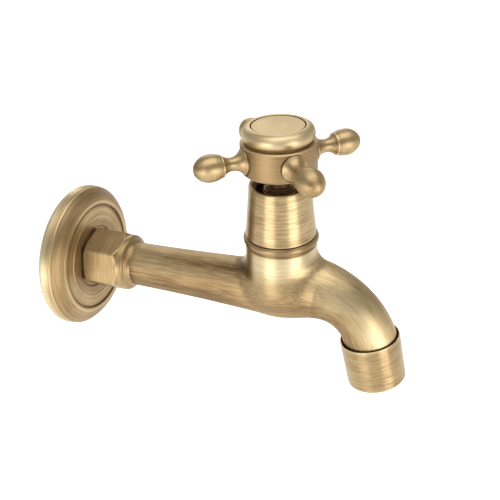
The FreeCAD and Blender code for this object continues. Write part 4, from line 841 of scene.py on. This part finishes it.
def swept_part(name, stations, radius_at, sides, wear_and_light_at=None):
    """A skin round the x axis whose radius depends on the station and on the angle."""
    angle = np.arange(sides) * 2 * math.pi / sides
    rows = [radius_at(x, angle) for x in stations]
    vertices = np.concatenate([np.stack((r * np.cos(angle), r * np.sin(angle), 0 * angle + x), 1)
                               for x, r in zip(stations, rows)])
    faces = [(k * sides + j, k * sides + (j + 1) % sides, (k + 1) * sides + (j + 1) % sides, (k + 1) * sides + j)
             for k in range(len(stations) - 1) for j in range(sides)]
    wear_and_light = np.concatenate([wear_and_light_at(x, angle) if wear_and_light_at else 0 * angle for x in stations])
    data = bpy.data.meshes.new(name)
    data.from_pydata((vertices * MM).tolist(), [], faces)
    data.polygons.foreach_set("use_smooth", [True] * len(faces))
    data.set_sharp_from_angle(angle=math.radians(35))
    for key, values in (("lane", vertices[:, 2]), ("wear_and_light", wear_and_light), ("stain_and_shade", 0 * wear_and_light)):
        data.attributes.new(key, "FLOAT", "POINT").data.foreach_set("value", values.astype(np.float32))
    made = bpy.data.objects.new(name, data)
    scene.collection.objects.link(made)
    made.matrix_world = ON_WALL
    return made


def hexagon_choices(x, angle):
    """Radii of the two nearest flats and of the two bevels."""
    lean = (angle - FIRST_FLAT) % (math.pi / 3) - math.pi / 6
    return [HALF_FLATS / np.cos(lean), HALF_FLATS / np.cos(math.pi / 3 - np.abs(lean)),
            0 * angle + 11.7 + (x - 10.3) * 1.72, 0 * angle + 12.1 + (26.9 - x) * 1.389]


def hexagon_radius(x, angle):
    inner = HEXAGON_ENDS.get(round(x, 2))
    return 0 * angle + inner if inner else soft_least(hexagon_choices(x, angle), EDGE_SOFT)


def hexagon_wear_and_shade(x, angle):
    """Edges are worn pale, and the faces that look down get painted shade."""
    choices = hexagon_choices(x, angle)
    edges = np.clip((np.min(choices, 0) - soft_least(choices, EDGE_SOFT)) / 0.11, 0, 1)
    return 0.9 * edges - 1.2 * np.clip(-2.5 * np.sin(angle) - 1.2, 0, 1)


hexagon_stations = [10.79, *np.arange(10.8, 12.8, 0.15), *np.arange(13, 24.6, 0.6), *np.arange(24.7, 26.9, 0.15),
                    26.9, 26.91]
hexagon = swept_part("hexagon", hexagon_stations, hexagon_radius, 360, hexagon_wear_and_shade)
hexagon_brass = brass("hexagon_brass", tint=0.38, contrast=0.9, scratch=0.25, rough=0.36)
dressed(hexagon, hexagon_brass, "body_brass", "tap")

# %% [markdown]
# The inlet is the threaded stub that goes into the wall, so only its back is ever seen. A thread is a wave that
# climbs by one pitch a turn, and flat crests and roots come from clipping the wave. It fades out before the plain
# land behind it. The bore is a short tube painted with shade all along it, so that one looks into a hole from behind.

# %% Threaded inlet
INLET_END, THREAD_PITCH, THREAD_R, THREAD_DEPTH = -11.5, 1.814, 10.4775, 1.162


def inlet_radius(x, angle):
    """G1/2 thread with faded ends, a chamfered tip and the plain land after it."""
    if x < INLET_END + 0.01:
        return 0 * angle + (6.0 if x < INLET_END + 0.003 else 9.3)
    if x > 0.5:
        return 0 * angle + (10.3 if x < 11 else 10.0)
    phase = (x / THREAD_PITCH - angle / (2 * math.pi)) % 1
    wave = 0.5 - 0.5 * np.clip(1.25 * np.cos(2 * math.pi * phase), -1, 1)
    depth = THREAD_DEPTH * min(max((0.2 - x) / 2.0, 0), 1)
    return np.minimum(THREAD_R - depth * wave, 9.45 + (x - INLET_END))


inlet_stations = [INLET_END, -11.495, *np.arange(-11.48, 0.5, 0.13), 0.5, 0.51, 4, 8, 10.9]
inlet = swept_part("inlet", inlet_stations, inlet_radius, 120)
raw_brass = brass("raw_brass", tint=0.6, contrast=0.5, scratch=0.15, rough=0.33)
dressed(inlet, raw_brass, "body_brass", "tap")
bore_profile = [(INLET_END, 6.0), (INLET_END, 6.03), (40, 6.03), (40, 0), (39.9, 0), (39.9, 6.0)]
# The bore's one mark paints shade over its whole length.
bore = turned_part("inlet_bore", bore_profile, soft=0.02, step=4, sides=64, at=ON_WALL, stain_and_light_spots=[(20, 6, 30, 1.2)])
dressed(bore, raw_brass, "body_brass", "tap")

# %% [markdown]
# Behind the hexagon the casting has a short round collar and a shoulder that sweeps down into the barrel. It was
# turned too, and ends just inside the barrel's skin, where the two meet in one line.

# %% Collar behind the hexagon
collar_profile = [
    (26.0, 9.0), (26.0, 11.3), (26.6, 12.36), (28.3, 12.3), (29.9, 10.7, 1.9, -1), (32.5, 9.42, 3.2, 1),
    (33.6, 9.41), (33.6, 9.0)]
collar = turned_part("collar", collar_profile, soft=0.4, at=ON_WALL, marks=0.3, stain_and_light_spots=[
    (29.5, 11.5, 1.5, 0.15), (31.3, 9.7, 1.4, 0.2)])
collar_brass = brass("collar_brass", tint=0.47, contrast=1.3, rough=0.38, anisotropic=0.5)
dressed(collar, collar_brass, "body_brass", "tap")

# %% [markdown]
# The outlet collar is a thin sleeve on the spout's end. Its mouth stands a little off the spout, which draws the
# dark crescent in the photograph. It is turned like the others, in a frame of its own that leans with the spout.

# %% Outlet collar
outlet_at = frame_at((OUTLET[0], 0, OUTLET[1]), (-math.sin(TILT), 0, math.cos(TILT)),
                     (math.cos(TILT), 0, math.sin(TILT)))
outlet_profile = [
    (11.8, -3.0), (11.8, -0.12), (11.92, 0), (12.15, 0), (12.3, -0.15), (12.05, -19.4), (11.25, -20.2, 0.8, -1),
    (9.2, -20.2), (9.2, -18.8), (10.4, -18.8), (10.4, -12.6), (10.54, -12.6), (10.54, -3.0)]
# The first mark paints shade inside the collar's mouth, which deepens the dark crescent; the other two wear its edges
# pale.
outlet = turned_part("outlet_collar_skin", outlet_profile, upright=True, at=outlet_at, stain_and_light_spots=[
    (-3.0, 10.6, 1.2, 0.8), (-19.8, 11.9, 0.5, -0.5), (0, 12.1, 0.3, -0.4)])
outlet_brass = brass("outlet_brass", tint=0.46, contrast=1.2, scratch=0.35, rough=0.24, anisotropic=0.85)
dressed(outlet, outlet_brass, "outlet_brass", "tap", "outlet_collar")

# %% [markdown]
# On top of the handle lies a bull-nosed cap with a plain disc let into it. Both ride on the handle's body, so that
# they turn with it. The thin stained line round the disc is a real gap with stain at its edges, which shows from
# every side, where a painted line would look flat.

# %% Cap and disc
cap_profile = [
    (0, 65.65), (6.45, 65.65), (6.45, 66.35), (12.6, 66.35), (13.9, 69.2, 3.774, 1), (10.9, 72.2, 3.0, 1),
    (10.65, 72.2), (10.5, 72.05), (10.5, 70.3), (0, 70.3)]
cap = turned_part("cap", cap_profile, upright=True, stain_and_light_spots=[
    (71.6, 10.5, 0.5, 0.9), (66.4, 12.6, 0.9, 0.6), (70.5, 13.6, 1.2, -0.3)])
cap_brass = brass("cap_brass", tint=0.68, contrast=0.6, scratch=0.15, rough=0.36, anisotropic=0.5)
dressed(cap, cap_brass, "handle_brass", "handle", "cap_ring")

disc_profile = [(0, 70.3), (10.15, 70.3), (10.15, 71.8), (10.0, 71.95), (0, 71.95)]
disc = turned_part("disc", disc_profile, upright=True, stain_and_light_spots=[(71.8, 10.1, 0.35, 0.5)])
disc_brass = brass("disc_brass", tint=0.60, contrast=0.35, scratch=0.08, rough=0.36, anisotropic=0.2)
dressed(disc, disc_brass, "handle_brass", "handle", "index_disc")

# %% [markdown]
# Four arms are turned on the lathe, each with a cove foot, a fine raised edge and an egg-shaped knob. The egg is
# three arcs that run into each other without a corner: one up from the edge to the widest place, a long one along
# the side, and the ball of the tip. The side's radius and the place where it meets the tip follow from that.

# %% Arms
ARM_Z, FIRST_HEADING = 60.1, 43.4
WIDEST_X, KNOB_R, TIP_R, TIP_AHEAD = 27.7, 5.25, 4.4, 1.9
front_r = (4.4 ** 2 + 0.9 ** 2) / 1.8
side_r = (TIP_AHEAD ** 2 + KNOB_R ** 2 - TIP_R ** 2) / (2 * (KNOB_R - TIP_R))
meet = side_r / (side_r - TIP_R)
arm_profile = [
    (9.4, 0), (9.4, 2.35), (9.9, 2.85), (13.5, 2.85), (13.5, 5.1), (14.7, 5.1), (19.2, 2.6, 5.3, 1),
    (23.0, 4.2, 5.31, 1), (23.0, 4.35), (23.3, 4.35), (WIDEST_X, KNOB_R, front_r, -1),
    (WIDEST_X + TIP_AHEAD * meet, KNOB_R - side_r + (side_r - KNOB_R) * meet, side_r, -1), (34.0, 0, TIP_R, -1)]
knob_brass = brass("knob_brass", tint=0.53, contrast=0.85, scratch=0.2, rough=0.36, anisotropic=0.5)
for number in range(4):
    heading = math.radians(FIRST_HEADING + 90 * number)
    arm_at = frame_at((VALVE_X, 0, ARM_Z), (math.cos(heading), math.sin(heading), 0), (0, 0, 1))
    arm = turned_part("arm_%d_skin" % (number + 1), arm_profile, soft=0.1, step=0.4, sides=96, marks=0.2, at=arm_at,
                      stain_and_light_spots=[(14.0, 5.1, 0.5, 0.7), (23.15, 4.35, 0.3, -0.9), (33.4, 2.2, 2.2, 0.3)])
    dressed(arm, knob_brass, "knob_brass", "handle", "arm_%d" % (number + 1))

# %% [markdown]
# The hub keeps the shape of its solid, with its four flat seats for the arms, and gets the turned finish with
# painted highlights along its upper and lower edges. What shows in the sleeve's opening is the headwork and the
# spindle in a dull, dark brass, partly their own finish and partly painted shade of the opening. These
# solids are shown as they are: they are right already, and only their materials change.

# %% Hub and inner parts
hub_brass = brass("hub_brass", centre=VALVE_X, own_lane=False, tint=0.34, contrast=0.45, scratch=0.15, rough=0.42,
                  anisotropic=0.0, bright_heights=(65.85, 54.5))
dull_shaded_brass = brass("dull_shaded_brass", centre=VALVE_X, own_lane=False, tint=0.3, contrast=0.8, scratch=0.2, rough=0.45)
plain_steel, _, shader = new_material("plain_steel")
shader.inputs["Base Color"].default_value = (0.42, 0.41, 0.39, 1)
shader.inputs["Metallic"].default_value = 1.0
shader.inputs["Roughness"].default_value = 0.4
finishes = {"handle_hub": hub_brass, "headwork_body": dull_shaded_brass, "spindle": dull_shaded_brass, "slip_washer": dull_shaded_brass,
            "circlip": dull_shaded_brass, "handle_screw": plain_steel, "spring_washer": plain_steel}
for name, finish in finishes.items():
    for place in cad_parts[name].material_slots:
        place.material = finish
print("finished in place:", ", ".join(finishes))
